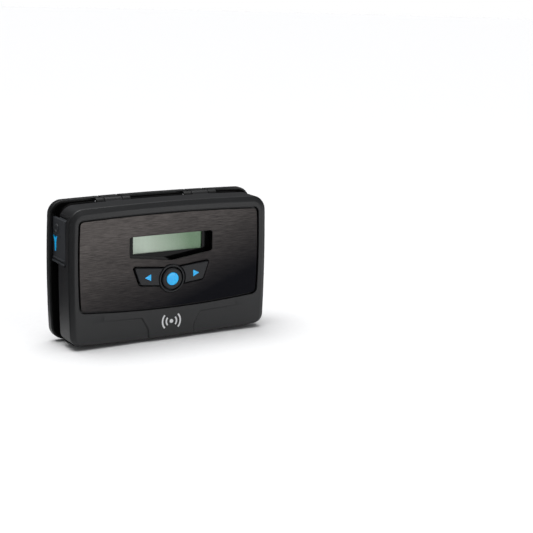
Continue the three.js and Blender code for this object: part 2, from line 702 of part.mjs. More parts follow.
// ---------------------------------------------------------------------------------------------
// Assembly
// ---------------------------------------------------------------------------------------------
let cover = frontCover();
SIDES.forEach(([, sign]) => {
  cover = cover.subtract(springSlot(sign));
});
add('front_cover', cover, caseBlack);
add('face_plate', facePlate(), brushedPlate);
add('display_surround', displaySurround(), glossBlack);
add('lcd_frame', lcdFrame(), glossBlack);
add('lcd_cell', lcdLayer(LCD_Y + 0.6 + GAP, LCD_Y + 2.6), lcdGreen);
add('lcd_backlight', lcdLayer(LCD_Y + 2.9, LCD_FRAME.back), lcdGreen);
const { half: headerX, z0: header0, z1: header1 } = HEADER;
const headerFront = LCD_FRAME.back + GAP;
add('display_header', block(-headerX, headerX, headerFront, BOARD.front - GAP, header0, header1), chipBlack);

SIDES.forEach(([side, sign]) => {
  add(`key_${side}`, wingKey(sign), keyGrey);
  add(`key_mark_${side}`, wingMark(sign), azure);
  add(`switch_${side}`, tactSwitch(sign * WING_CENTRE.x, WING_CENTRE.z), chipBlack);
});
add('select_collar', selectCollar(), keyGrey);
add('select_cap', selectCap(), keyGrey);
add('select_disc', selectDisc(), azure);
add('switch_select', tactSwitch(0, KEY_Z), chipBlack);

add('main_board', mainBoard(), boardGreen);
BOARD_SCREWS.forEach(([x, z], i) => {
  add(`board_screw_${i + 1}`, boardScrew(x, z), steel);
});
add('controller_chip', boardPart(CONTROLLER), chipBlack);
add('radio_can', radioCan(), tin);
add('crystal', boardPart(CRYSTAL), tin);
const { x0: coil0, x1: coil1, z: coilZ, radius: coilRadius, rise: coilRise } = ANTENNA;
add('antenna', crossRod(coilRadius, coil0, coil1, ON_BOARD + coilRise, coilZ, 12), rubber);
add('sounder', sounder(), chipBlack);
add('battery_holder', batteryHolder(), chipBlack);
add('battery_pack', batteryPack(), cellBlue);
CAPACITORS.forEach(([x, z], i) => {
  add(`capacitor_${i + 1}`, capacitor(x, z), tin);
});

add('rear_tray', rearTray(), trayBlack);
add('case_seal_left', caseSeal(-90, -HINGE.x), rubber);
add('case_seal_top', caseSeal(-HINGE.x, HINGE.x), rubber);
add('case_seal_right', caseSeal(HINGE.x, 90), rubber);
FOOT.y.forEach((y, row) => {
  SIDES.forEach(([side, sign]) => {
    const x = sign * FOOT.x;
    const name = `foot_${row === 0 ? 'front' : 'rear'}_${side}`;
    const pad = softPolygon([
      [x - FOOT.halfX, FOOT.z0], [x + FOOT.halfX, FOOT.z0],
      [x + FOOT.halfX, FOOT.z1], [x - FOOT.halfX, FOOT.z1],
    ], 0.2);
    add(name, prism(pad, y - FOOT.halfY, y + FOOT.halfY), rubber);
  });
});

SIDES.forEach(([side, sign]) => {
  const pinHalf = KNUCKLE.half + KNUCKLE.gap + KNUCKLE.side + 0.5;
  const cx = sign * HINGE.x;
  const pin = crossRod(HINGE.pin, cx - pinHalf, cx + pinHalf, HINGE.y, HINGE.z, 12);
  add(`hinge_pin_${side}`, pin, steel);
  add(`side_latch_${side}`, sideLatch(sign), caseBlack);
  add(`latch_arrow_${side}`, latchArrow(sign), azure);
  const axle = rod(LATCH_PIN.radius, LATCH.y0 - 1.4, CASE_BACK_Y - GAP, sign * LATCH_PIN.x, LATCH_PIN.z, 12);
  add(`latch_pin_${side}`, axle, steel);
  add(`latch_spring_${side}`, latchSpring(sign), steel);
});

export default pager;
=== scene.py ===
import math
import random
from types import SimpleNamespace as Sizes

import bmesh
import bpy
from mathutils import Matrix, Vector


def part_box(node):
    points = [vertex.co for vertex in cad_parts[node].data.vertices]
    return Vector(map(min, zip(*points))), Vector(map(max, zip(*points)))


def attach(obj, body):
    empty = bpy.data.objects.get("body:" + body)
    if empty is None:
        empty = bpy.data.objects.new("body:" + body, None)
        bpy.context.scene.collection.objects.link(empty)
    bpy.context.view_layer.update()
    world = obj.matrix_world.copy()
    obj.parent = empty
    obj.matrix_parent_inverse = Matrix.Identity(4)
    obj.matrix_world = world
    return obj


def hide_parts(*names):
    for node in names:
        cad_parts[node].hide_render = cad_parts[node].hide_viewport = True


# The looks of a wireless pager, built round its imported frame. Lengths are millimetres in face
# coordinates (x and z from the middle of the face plate, y = 0 on its front, growing backwards)
# until face_point() turns them into metres in the row frame.
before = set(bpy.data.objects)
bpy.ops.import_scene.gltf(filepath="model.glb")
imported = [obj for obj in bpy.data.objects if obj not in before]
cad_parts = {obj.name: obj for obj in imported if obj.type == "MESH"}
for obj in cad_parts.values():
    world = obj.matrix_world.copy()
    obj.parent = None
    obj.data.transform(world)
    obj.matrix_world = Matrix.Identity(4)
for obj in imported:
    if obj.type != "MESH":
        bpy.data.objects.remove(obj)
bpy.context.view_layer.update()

MM = 0.001
FULL_TURN = 2 * math.pi
SIDES = (("left", -1), ("right", 1))

# ---- Driving dimensions, the same as the part's
GAP = 0.3
RIM_Y = -0.3
CASE_BACK_Y = 17.6
REAR_Y = 31.0
WALL = 2.2
FACE_BACK_Y = 3.1
RECESS_FLOOR_Y = 0.9
PLATE_THICKNESS = 0.6
PLATE_MARGIN = 1.1
LCD_Y = 5.3
KEY_Z = -12.3

CASE = Sizes(a=66.1, z0=-48.1, z1=34.4, r=8.7, foot=5.8, side=0.9, top=1.4, bottom=1.2)
RIM = Sizes(a=62.9, z0=-47.4, z1=31.2, r=5.5, foot=3.4, side=0.9, top=1.4, bottom=1.2)
PLATE = Sizes(a=59.7, z0=-27.0, z1=27.0, r=2.2, side=0.8, top=1.5, bottom=2.8)
FLANGE = Sizes(a=68.2, z0=-49.6, z1=36.1, r=8.0, side=1.2, top=1.0, bottom=1.0)
NECK = Sizes(a=61.6, z0=-48.6, z1=32.0, r=8.0, side=0.6, top=1.1, bottom=0.7)
SEAL = Sizes(a=63.8, z0=-49.8, z1=34.4, r=9.0, side=0.6, top=1.1, bottom=0.6)
BEVEL_DEPTH = 1.5

OPENING = Sizes(a=28.1, top=15.5, shoulder=2.9, apex=-0.9)
SURROUND_WALL = 1.0
KEY = Sizes(front=-1.2, stop=3.5, flange=0.9, slope=0.1, top=-6.1, bottom=-16.5)
KEY_TIP = Sizes(top=25.2, bottom=21.3)
COLLAR = Sizes(outer=8.6, inner=7.5, front=-1.0)
SELECT_RADIUS = 6.65
DISC = Sizes(radius=4.0, front=-2.0, back=-0.9)
MARK = Sizes(tip=18.6, base=14.4, half=2.1, thickness=0.4, z=-10.2)

BOARD_SCREWS = ((-52, 24), (52, 24), (52, -38), (-52, -38))
BOARD = Sizes(x=56, z0=-42, z1=28, front=11.2, back=12.8)
ON_BOARD = BOARD.back + GAP
HINGE = Sizes(x=29.7, y=21.6, z=34.4, radius=2.7, pin=1.0, bore=1.3)
HINGE_ARM = Sizes(front=13.5, under=32.1, top=35.3)
KNUCKLE = Sizes(half=5.7, side=5.2, gap=0.4)
LATCH = Sizes(y0=6.2, y1=24.9, z0=0.2, z1=28.2, inner=64.7, outer=66.9)
LATCH_PIN = Sizes(x=64.6, z=26.6, radius=0.6, bore=0.9, barrel=1.6)
LATCH_RING = Sizes(y=18.2, z=21.2, outer=2.6, inner=1.8)
ARROW = Sizes(y=21.4, tail=6.8, tip=0.6, waist=9.5, half=1.2, neck=12.5, wing=3.0, head=16.4,
         notch=1.3, depth=0.45)
FOOT = Sizes(x=45, half_x=7, half_y=2.5, z0=-51.1, z1=-50.5, y=(12.0, 27.5))
SILL = Sizes(front=8.5, top=-49.65)
TRAY = Sizes(neck_front=18.0, flange_front=25.4, floor_front=28.4, wall=2.0)
TRAY_GROOVE = Sizes(offset=6.3, width=1.2, z0=36.0)
KEYHOLE = Sizes(x=38, z=8, seat=4.0, slot=2.0, slot_top=15, depth=1.3)
POCKET = Sizes(foot=15.0, waist=15.6, waist_z=-43.0, shoulder=20.0, shoulder_z=-35.1,
          end=55.0, end_z=-33.6, depth=1.1, slant=math.radians(1.2))

plate_low, plate_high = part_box("face_plate")
cap_low, cap_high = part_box("select_cap")
FACE_Y = plate_low.y / MM
FACE_Z = (cap_low.z + cap_high.z) / 2 / MM - KEY_Z


def face_point(point):
    """A point in face coordinates, in millimetres, as metres in the row frame."""
    x, y, z = point
    return (x * MM, (y + FACE_Y) * MM, (z + FACE_Z) * MM)


# ---- Outlines: lists of (u, v) points
ARC_STEPS = 14
SIDE_STEPS = (20, 44, 20, 44)


def bowed(spec, inset=0.0):
    """A rounded rectangle whose sides, top and bottom bulge at their middles."""
    a = spec.a - inset
    z0 = spec.z0 + inset
    z1 = spec.z1 - inset
    r, foot = (max(value - inset, 0.4) for value in (spec.r, getattr(spec, "foot", spec.r)))
    radii = (foot, r, r, foot)
    middle, half = (z0 + z1) / 2, (z1 - z0) / 2
    centres = [(a - foot, z0 + foot), (a - r, z1 - r), (r - a, z1 - r), (foot - a, z0 + foot)]
    points = []
    for corner, (cx, cz) in enumerate(centres):
        for k in range(ARC_STEPS + 1):
            angle = (corner - 1 + k / ARC_STEPS) * math.pi / 2
            points.append((cx + radii[corner] * math.cos(angle), cz + radii[corner] * math.sin(angle)))
        turn = Vector((math.cos(corner * math.pi / 2), math.sin(corner * math.pi / 2)))
        after = (corner + 1) % 4
        start = Vector((cx, cz)) + turn * radii[corner]
        end = Vector(centres[after]) + turn * radii[after]
        points += [tuple(start.lerp(end, k / SIDE_STEPS[corner])) for k in range(1, SIDE_STEPS[corner])]
    result = []
    for x, z in points:
        u, w = x / a, (z - middle) / half
        rise = spec.top if w > 0 else spec.bottom
        result.append((x + spec.side * u * (1 - w * w), z + rise * w * (1 - u * u)))
    return result


def soft_polygon(corners, cut, steps=6):
    """A polygon whose corners are rounded by quadratic curves that start `cut` away."""
    points = []
    for i, corner in enumerate(corners):
        here = Vector(corner)
        before, after = Vector(corners[i - 1]), Vector(corners[(i + 1) % len(corners)])
        start = here.lerp(before, cut / (here - before).length)
        end = here.lerp(after, cut / (here - after).length)
        for k in range(steps + 1):
            t = k / steps
            points.append(tuple(start.lerp(here, t).lerp(here.lerp(end, t), t)))
    return points


def circle(radius, u=0.0, v=0.0, sides=64):
    return [(u + radius * math.cos(FULL_TURN * k / sides), v + radius * math.sin(FULL_TURN * k / sides))
            for k in range(sides)]


def arc(radius, start, end, steps, u=0.0, v=0.0):
    """Points along an arc about (u, v), from one angle in radians to another."""
    angles = [start + (end - start) * k / steps for k in range(steps + 1)]
    return [(u + radius * math.cos(a), v + radius * math.sin(a)) for a in angles]


def oblong(u, v, half_u, half_v, cut=0.0):
    """A rectangle about its middle (u, v)."""
    return rectangle(u - half_u, u + half_u, v - half_v, v + half_v, cut)


def rectangle(u0, u1, v0, v1, cut=0.0):
    corners = [(u0, v0), (u1, v0), (u1, v1), (u0, v1)]
    return soft_polygon(corners, cut) if cut else corners


def signed_area(outline):
    return sum(x0 * z1 - x1 * z0 for (x0, z0), (x1, z1) in zip(outline, outline[1:] + outline[:1])) / 2


def grown(outline, by):
    """The outline with every point moved outwards, square to the mean of its two edges."""
    turn = 1 if signed_area(outline) > 0 else -1
    result = []
    for i, point in enumerate(outline):
        here = Vector(point)
        entry = (here - Vector(outline[i - 1])).normalized()
        leave = (Vector(outline[(i + 1) % len(outline)]) - here).normalized()
        along = (entry + leave).normalized()
        reach = turn * by / max(along.dot(entry), 0.5)
        result.append((here.x + along.y * reach, here.y - along.x * reach))
    return result


def opening_outline(grow=0.0):
    a, top, shoulder, apex = OPENING.a, OPENING.top, OPENING.shoulder, OPENING.apex
    return grown(soft_polygon([(-a, top), (a, top), (a, shoulder), (0, apex), (-a, shoulder)], 1.4), grow)


def wing_outline(sign, grow=0.0, hollow=None):
    """A wing key's outline; with `hollow`, its inner end is an arc of that radius round the collar."""
    def top(x):
        return KEY.top + KEY.slope * x

    def bottom(x):
        return KEY.bottom + KEY.slope * x

    tips = [(KEY_TIP.bottom, bottom(KEY_TIP.bottom)), (KEY_TIP.top, top(KEY_TIP.top))]
    if hollow is None:
        inner = 5.0
        outline = soft_polygon([(inner, bottom(inner)), *tips, (inner, top(inner))], 1.3)
    else:
        low = -math.asin((KEY_Z - bottom(hollow * 0.85)) / hollow)
        high = math.asin((top(hollow * 0.75) - KEY_Z) / hollow)
        mouth = arc(hollow, high, low, 16, 0, KEY_Z)
        start, end = mouth[-1], mouth[0]
        rounded = soft_polygon([start, *tips, end], 1.3)
        steps = len(rounded) // 4
        outline = [start, *rounded[steps:3 * steps], end, *mouth[1:-1]]
    outline = [(sign * x, z) for x, z in outline]
    return grown(outline, grow) if grow else outline


def mark_outline(sign, grow=0.0):
    tip, base, half, z = MARK.tip, MARK.base, MARK.half, MARK.z
    corners = [(sign * tip, z), (sign * base, z + half), (sign * base, z - half)]
    return grown(soft_polygon(corners, 0.35, 3), grow)


def arrow_outline(grow=0.0):
    """The latch's mark: it flares to a notched top above a narrow tail."""
    half = [(ARROW.tip, ARROW.tail), (ARROW.half, ARROW.waist),
            (ARROW.half, ARROW.neck), (ARROW.wing, ARROW.head)]
    front = [(ARROW.y + reach, z) for reach, z in half]
    back = [(ARROW.y - reach, z) for reach, z in half]
    outline = [back[0], *front, (ARROW.y, ARROW.head - ARROW.notch), *back[:0:-1]]
    return grown(soft_polygon(outline, 0.25, 3), grow)


# ---- Meshes
def facing(u, v, w):
    """An outline in the x-z plane, w its depth along y."""
    return (u, w, v)


def sideways(sign):
    """An outline in the y-z plane on one side, w its distance from the middle."""
    return lambda u, v, w: (sign * w, u, v)


def upward(u, v, w):
    """An outline in the x-y plane, w its height."""
    return (u, v, w)


def solid(name, rings, loop=False):
    """A closed mesh through rings of points: capped at both ends, or a loop back to the first."""
    count = len(rings[0])
    steps = [(i, i + 1) for i in range(len(rings) - 1)]
    if loop:
        steps.append((len(rings) - 1, 0))
    faces = [(i * count + k, i * count + (k + 1) % count, j * count + (k + 1) % count, j * count + k)
             for i, j in steps for k in range(count)]
    if not loop:
        faces.append(tuple(range(count)))
        faces.append(tuple(range((len(rings) - 1) * count, len(rings) * count)))
    mesh = bpy.data.meshes.new(name)
    mesh.from_pydata([face_point(p) for ring in rings for p in ring], [], faces)
    work = bmesh.new()
    work.from_mesh(mesh)
    bmesh.ops.recalc_face_normals(work, faces=work.faces)
    work.to_mesh(mesh)
    work.free()
    obj = bpy.data.objects.new(name, mesh)
    bpy.context.scene.collection.objects.link(obj)
    return obj


def ring(outline, w, lay=facing):
    return [lay(u, v, w) for u, v in outline]


def quarter(radius, steps=4):
    """(inset, depth) along a rounded edge, from the flat face to the side."""
    angles = [math.pi / 2 * k / steps for k in range(steps + 1)]
    return [(radius * (1 - math.sin(angle)), radius * (1 - math.cos(angle))) for angle in angles]


def end_rings(outline, w, inwards, edge, lay):
    """Rings over one end of a slab, from its flat to its side, with the edge rounded."""
    if not edge:
        return [ring(outline, w, lay)]
    return [ring(grown(outline, -inset), w + inwards * depth, lay) for inset, depth in quarter(edge)]


def slab(name, outline, w0, w1, lay=facing, edge0=0.0, edge1=0.0):
    """An outline extruded from w0 to w1, its two end edges rounded by edge0 and edge1."""
    last = end_rings(outline, w1, -1, edge1, lay)
    return solid(name, end_rings(outline, w0, 1, edge0, lay) + last[::-1])


def turned(name, profile, u, v, lay=facing, sides=64, loop=False):
    """A turned mesh about the axis through (u, v); profile points are (radius, depth)."""
    return solid(name, [ring(circle(r, u, v, sides), w, lay) for r, w in profile], loop)


def applied(obj):
    """Replaces the object's mesh with what its modifiers make of it."""
    bpy.context.view_layer.update()
    mesh = bpy.data.meshes.new_from_object(obj.evaluated_get(bpy.context.evaluated_depsgraph_get()))
    obj.modifiers.clear()
    obj.data = mesh
    return obj


def combined(obj, operation, others):
    for other in others:
        modifier = obj.modifiers.new(operation, "BOOLEAN")
        modifier.operation = operation
        modifier.solver = "MANIFOLD"
        modifier.object = other
    applied(obj)
    for other in others:
        bpy.data.objects.remove(other)
    return obj


def cut(obj, *cutters):
    return combined(obj, "DIFFERENCE", cutters)


def fused(obj, *others):
    return combined(obj, "UNION", others)


def cleaned(obj):
    """Welds hair-thin edges that cutting leaves, and points that lie almost together."""
    work = bmesh.new()
    work.from_mesh(obj.data)
    bmesh.ops.remove_doubles(work, verts=work.verts, dist=0.002 * MM)
    bmesh.ops.dissolve_degenerate(work, edges=work.edges, dist=0.001 * MM)
    work.to_mesh(obj.data)
    work.free()
    return obj


def dressed(obj, finish, body, replaced=(), sharp=35):
    """Gives a mesh its material, its shading and the body that it rides on."""
    cleaned(obj)
    mesh = obj.data
    mesh.materials.clear()
    mesh.materials.append(MATERIALS[finish])
    mesh.polygons.foreach_set("use_smooth", [True] * len(mesh.polygons))
    mesh.set_sharp_from_angle(angle=math.radians(sharp))
    weighted = obj.modifiers.new("weighted", "WEIGHTED_NORMAL")
    weighted.keep_sharp = True
    weighted.weight = 100
    applied(obj)
    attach(obj, body)
    if replaced:
        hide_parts(*replaced)
    return obj


# ---- Materials
def linear(red, green, blue):
    """An sRGB colour from 0 to 255 as linear RGBA."""
    def one(value):
        value /= 255
        return value / 12.92 if value <= 0.04045 else ((value + 0.055) / 1.055) ** 2.4
    return (one(red), one(green), one(blue), 1.0)


def tinted(color, gain, lift=0.0):
    return tuple(min(channel * gain + lift, 1) for channel in color[:3]) + (1,)


class Surface:
    """A node material: the Principled shader, object coordinates in metres, and short calls to wire it."""

    def __init__(self, name, **constants):
        self.material = bpy.data.materials.new(name)
        self.material.use_nodes = True
        self.tree = self.material.node_tree
        self.shader = self.tree.nodes["Principled BSDF"]
        self.place = self.node("ShaderNodeTexCoord").outputs["Object"]
        for key, value in constants.items():
            self.shader.inputs[key.replace("_", " ")].default_value = value

    def node(self, kind, inputs=None, **settings):
        made = self.tree.nodes.new(kind)
        for key, value in settings.items():
            setattr(made, key, value)
        for key, value in (inputs or {}).items():
            if isinstance(value, bpy.types.NodeSocket):
                self.tree.links.new(value, made.inputs[key])
            else:
                made.inputs[key].default_value = value
        return made

    def stretched(self, scale):
        return self.node("ShaderNodeMapping", {"Vector": self.place, "Scale": scale}).outputs["Vector"]

    def noise(self, scale, detail=3.0, vector=None, roughness=0.55):
        inputs = {"Vector": vector or self.place, "Scale": scale, "Detail": detail, "Roughness": roughness}
        return self.node("ShaderNodeTexNoise", inputs).outputs["Fac"]

    def ramp(self, value, low, high, to_low, to_high):
        inputs = {"Value": value, "From Min": low, "From Max": high, "To Min": to_low, "To Max": to_high}
        return self.node("ShaderNodeMapRange", inputs).outputs["Result"]

    def spread(self, noise, low, high):
        """A noise value, which mostly lies between 0.3 and 0.7, as a value from low to high."""
        return self.ramp(noise, 0.3, 0.7, low, high)

    def math(self, operation, *values):
        return self.node("ShaderNodeMath", dict(enumerate(values)), operation=operation).outputs[0]

    def plus(self, a, b):
        return self.math("ADD", a, b)

    def minus(self, a, b):
        return self.math("SUBTRACT", a, b)

    def times(self, a, b):
        return self.math("MULTIPLY", a, b)

    def mix(self, factor, a, b):
        made = self.node("ShaderNodeMix", data_type="RGBA")
        for socket, value in ((made.inputs[0], factor), (made.inputs[6], a), (made.inputs[7], b)):
            if isinstance(value, bpy.types.NodeSocket):
                self.tree.links.new(value, socket)
            else:
                socket.default_value = value
        return made.outputs[2]

    def edge_normal(self, radius):
        """The normal as if every hard edge were rounded by the radius, in millimetres."""
        return self.node("ShaderNodeBevel", {"Radius": radius * MM}, samples=4).outputs["Normal"]

    def edge_wear(self, radius):
        """0 on flat faces, rising to 1 on the edges that hands and tools rub."""
        soft = self.edge_normal(radius)
        flat = self.node("ShaderNodeNewGeometry").outputs["Normal"]
        aligned = self.node("ShaderNodeVectorMath", {0: soft, 1: flat}, operation="DOT_PRODUCT")
        return self.ramp(aligned.outputs["Value"], 0.995, 0.8, 0.0, 1.0)

    def bump(self, height, strength, distance, normal=None):
        inputs = {"Height": height, "Strength": strength, "Distance": distance * MM}
        if normal is not None:
            inputs["Normal"] = normal
        return self.node("ShaderNodeBump", inputs).outputs["Normal"]

    def wire(self, **sockets):
        for key, value in sockets.items():
            self.tree.links.new(value, self.shader.inputs[key.replace("_", " ")])
        return self.material


def moulded(name, color, rough, grain, level=0.5, edge=0.25, wear=0.35):
    """Moulded plastic: fine spark-eroded grain, cloudy gloss and faintly polished edges."""
    s = Surface(name, Specular_IOR_Level=level)
    fine = s.noise(3200.0, 2.0)
    cloud = s.noise(55.0, 4.0)
    smear = s.noise(14.0, 3.0)
    worn = s.times(s.edge_wear(edge * 1.6), s.ramp(s.noise(420.0, 5.0), 0.35, 0.75, 0.0, wear))
    tone = s.mix(s.spread(cloud, 0.0, 1.0), tinted(color, 0.88), color)
    tone = s.mix(worn, tone, tinted(color, 2.6, 0.01))
    gloss = s.plus(s.spread(fine, rough - 0.04, rough + 0.04), s.spread(smear, -0.03, 0.04))
    gloss = s.minus(gloss, s.times(worn, 0.25))
    normal = s.bump(fine, grain, 0.05, s.edge_normal(edge))
    return s.wire(Base_Color=tone, Roughness=gloss, Normal=normal)


def brushed_metal(name, dark, light):
    """Dark anodised aluminium, brushed along x: the UV map points its glints across the strokes."""
    s = Surface(name, Metallic=1.0, Anisotropic=0.85)
    tangent = s.node("ShaderNodeTangent", direction_type="UV_MAP", uv_map="strokes").outputs["Tangent"]
    strokes = s.noise(1.0, 4.0, s.stretched((190.0, 1.0, 5200.0)), 0.7)
    coarse = s.noise(1.0, 4.0, s.stretched((110.0, 1.0, 1700.0)), 0.65)
    stain = s.noise(1.0, 3.0, s.stretched((18.0, 1.0, 60.0)), 0.5)
    both = s.plus(s.times(strokes, 0.5), s.times(coarse, 0.5))
    tone = s.mix(s.ramp(both, 0.36, 0.64, 0.0, 1.0), dark, light)
    tone = s.mix(s.ramp(stain, 0.35, 0.7, 0.0, 0.35), tone, dark)
    # Painted shade: it fades to near black towards its lower right, as it does under the photo's studio
    # light.
    place = s.node("ShaderNodeSeparateXYZ", {"Vector": s.place})
    height = s.plus(place.outputs["Z"], s.times(place.outputs["X"], -0.34))
    tone = s.mix(s.ramp(height, 0.02, 0.088, 0.97, 0.0), tone, linear(13, 14, 18))
    gloss = s.spread(strokes, 0.36, 0.5)
    normal = s.bump(both, 0.35, 0.02, s.edge_normal(0.08))
    s.tree.links.new(tangent, s.shader.inputs["Tangent"])
    return s.wire(Base_Color=tone, Roughness=gloss, Normal=normal)


def bright_metal(name, color, rough, stroke):
    """Drawn or turned steel and tin, with fine strokes and a little tarnish."""
    s = Surface(name, Metallic=1.0)
    strokes = s.noise(1.0, 3.0, s.stretched(stroke), 0.6)
    tarnish = s.noise(260.0, 4.0)
    tone = s.mix(s.ramp(tarnish, 0.35, 0.75, 0.0, 0.45), color, tinted(color, 0.55))
    gloss = s.plus(s.spread(strokes, rough - 0.06, rough + 0.08), s.ramp(tarnish, 0.4, 0.8, 0.0, 0.12))
    return s.wire(Base_Color=tone, Roughness=gloss, Normal=s.bump(strokes, 0.2, 0.02, s.edge_normal(0.1)))


def rubber(name, color, rough):
    """Matte rubber: a dusty bloom over a fine pitted skin."""
    s = Surface(name, Specular_IOR_Level=0.1)
    pits = s.noise(2400.0, 3.0)
    bloom = s.noise(90.0, 4.0)
    tone = s.mix(s.ramp(bloom, 0.4, 0.75, 0.0, 0.5), color, tinted(color, 2.0, 0.0005))
    gloss = s.spread(pits, rough - 0.06, rough + 0.06)
    return s.wire(Base_Color=tone, Roughness=gloss, Normal=s.bump(pits, 0.4, 0.06, s.edge_normal(0.2)))


def gloss_black():
    """Polished black plastic with hairline swirls and a trace of dust."""
    s = Surface("gloss_black", Specular_IOR_Level=0.2)
    swirls = s.noise(700.0, 5.0)
    dust = s.noise(1500.0, 6.0)
    tone = s.mix(s.ramp(dust, 0.68, 0.8, 0.0, 0.25), linear(4, 4, 5), linear(30, 30, 31))
    gloss = s.spread(swirls, 0.08, 0.16)
    return s.wire(Base_Color=tone, Roughness=gloss, Normal=s.bump(swirls, 0.03, 0.02, s.edge_normal(0.12)))


def azure_plastic():
    """Vivid translucent azure, a little brighter where it is thin, with a faint painted glow of its own
    colour.
    """
    # Painted glow: a faint emission of its own colour, though the plastic is no lamp.
    s = Surface("azure_plastic", Subsurface_Weight=0.25, Subsurface_Scale=0.6 * MM, Coat_Weight=0.2,
                Coat_Roughness=0.2, Emission_Strength=0.08)
    cloud = s.noise(500.0, 3.0)
    tone = s.mix(s.spread(cloud, 0.0, 1.0), linear(0, 168, 240), linear(0, 188, 247))
    gloss = s.spread(s.noise(2500.0, 2.0), 0.26, 0.36)
    s.tree.links.new(tone, s.shader.inputs["Emission Color"])
    return s.wire(Base_Color=tone, Roughness=gloss, Normal=s.bump(cloud, 0.05, 0.03, s.edge_normal(0.15)))


def lcd_glass():
    """A reflective LCD: grey-green polariser with the faint grid of its character cells."""
    s = Surface("lcd_glass", Coat_Weight=0.5, Coat_Roughness=0.08, Specular_IOR_Level=0.3)
    across = s.node("ShaderNodeSeparateXYZ", {"Vector": s.place})
    # Painted shade: the cell is pale green at its left and darkens towards its right end.
    lean = s.plus(across.outputs["X"], s.times(across.outputs["Z"], 0.3))
    side = s.ramp(lean, 0.003, 0.034, 0.0, 1.0)
    tone = s.mix(side, linear(204, 221, 203), linear(110, 146, 110))
    cells = s.times(cell_grid(s, across.outputs["X"], 2.85), cell_grid(s, across.outputs["Z"], 5.2))
    tone = s.mix(s.times(cells, 0.02), tone, linear(70, 84, 68))
    tone = s.mix(s.spread(s.noise(160.0, 3.0), 0.0, 0.08), tone, linear(120, 130, 112))
    return s.wire(Base_Color=tone, Roughness=s.spread(s.noise(2600.0, 2.0), 0.24, 0.34))


def cell_grid(s, along, pitch):
    """1 inside each character cell, 0 in the gaps between them; the pitch is in millimetres."""
    wave = s.math("SINE", s.times(along, FULL_TURN / (pitch * MM)))
    return s.ramp(wave, -0.85, -0.6, 0.0, 1.0)


def board_laminate():
    """Green solder mask over copper tracks that run between rows of vias."""
    s = Surface("board_laminate", Coat_Weight=0.35, Coat_Roughness=0.15)
    flat = s.stretched((1.0, 0.0, 1.0))
    weave = s.node("ShaderNodeTexBrick", {
        "Vector": s.place, "Scale": 190.0, "Color1": (1, 1, 1, 1), "Color2": (0.6, 0.6, 0.6, 1),
        "Mortar": (0, 0, 0, 1), "Mortar Size": 0.012}).outputs["Color"]
    warped = s.node("ShaderNodeTexVoronoi", {"Vector": flat, "Scale": 330.0}, distance="MANHATTAN",
                    feature="F1").outputs["Distance"]
    track = s.ramp(s.math("SINE", s.times(warped, 30.0)), 0.1, 0.35, 0.0, 1.0)
    tone = s.mix(track, linear(10, 58, 40), linear(24, 92, 62))
    tone = s.mix(s.times(weave, 0.12), tone, linear(6, 40, 28))
    gloss = s.spread(s.noise(900.0, 3.0), 0.3, 0.42)
    return s.wire(Base_Color=tone, Roughness=gloss, Normal=s.bump(track, 0.25, 0.03, s.edge_normal(0.1)))


def white_print():
    """Pad-printed white ink, thin enough for a few pinholes."""
    s = Surface("white_print", Specular_IOR_Level=0.3)
    holes = s.noise(2600.0, 4.0)
    tone = s.mix(s.ramp(holes, 0.66, 0.78, 0.0, 0.6), linear(214, 215, 217), linear(90, 91, 94))
    return s.wire(Base_Color=tone, Roughness=s.spread(holes, 0.5, 0.65))


def floor_paper():
    """Seamless pale paper."""
    s = Surface("floor_paper", Specular_IOR_Level=0.1)
    fibre = s.noise(300.0, 4.0)
    tone = s.mix(s.spread(fibre, 0.0, 1.0), (0.83, 0.83, 0.835, 1), (0.85, 0.85, 0.852, 1))
    return s.wire(Base_Color=tone, Roughness=s.spread(fibre, 0.8, 0.95))


MATERIALS = {
    "case_plastic": moulded("case_plastic", linear(19, 20, 22), 0.46, 0.1, level=0.4),
    "latch_plastic": moulded("latch_plastic", linear(44, 47, 51), 0.5, 0.1, level=0.5),
    "tray_plastic": moulded("tray_plastic", linear(18, 19, 20), 0.42, 0.08, level=0.35),
    "key_plastic": moulded("key_plastic", linear(27, 28, 31), 0.5, 0.1, level=0.3, edge=0.2),
    "face_metal": brushed_metal("face_metal", linear(48, 46, 45), linear(102, 97, 95)),
    "gloss_black": gloss_black(),
    "azure_plastic": azure_plastic(),
    # Black rubber darkened to near black: its own colour plus painted shade of the gap between case and
    # tray.
    "seal_rubber": rubber("seal_rubber", linear(2, 2, 2), 0.9),
    "foot_rubber": rubber("foot_rubber", linear(20, 20, 21), 0.85),
    "pin_steel": bright_metal("pin_steel", linear(214, 216, 219), 0.24, (60.0, 2600.0, 2600.0)),
    "tin_plate": bright_metal("tin_plate", linear(196, 198, 200), 0.34, (900.0, 900.0, 120.0)),
    "lcd_cell": lcd_glass(),
    "backlight": moulded("backlight", linear(216, 220, 212), 0.5, 0.05),
    "board_laminate": board_laminate(),
    "chip_epoxy": moulded("chip_epoxy", linear(30, 31, 33), 0.55, 0.2),
    "cell_wrap": moulded("cell_wrap", linear(46, 66, 108), 0.3, 0.05, edge=0.5),
    "white_print": white_print(),
}


# ---- Front case
def between(outline_a, outline_b, share):
    pairs = zip(outline_a, outline_b)
    return [(ax + (bx - ax) * share, az + (bz - az) * share) for (ax, az), (bx, bz) in pairs]


def contour(shape, *steps):
    """Rings of one bowed outline, each at its own inset and depth."""
    return [ring(bowed(shape, inset), y) for inset, y in steps]


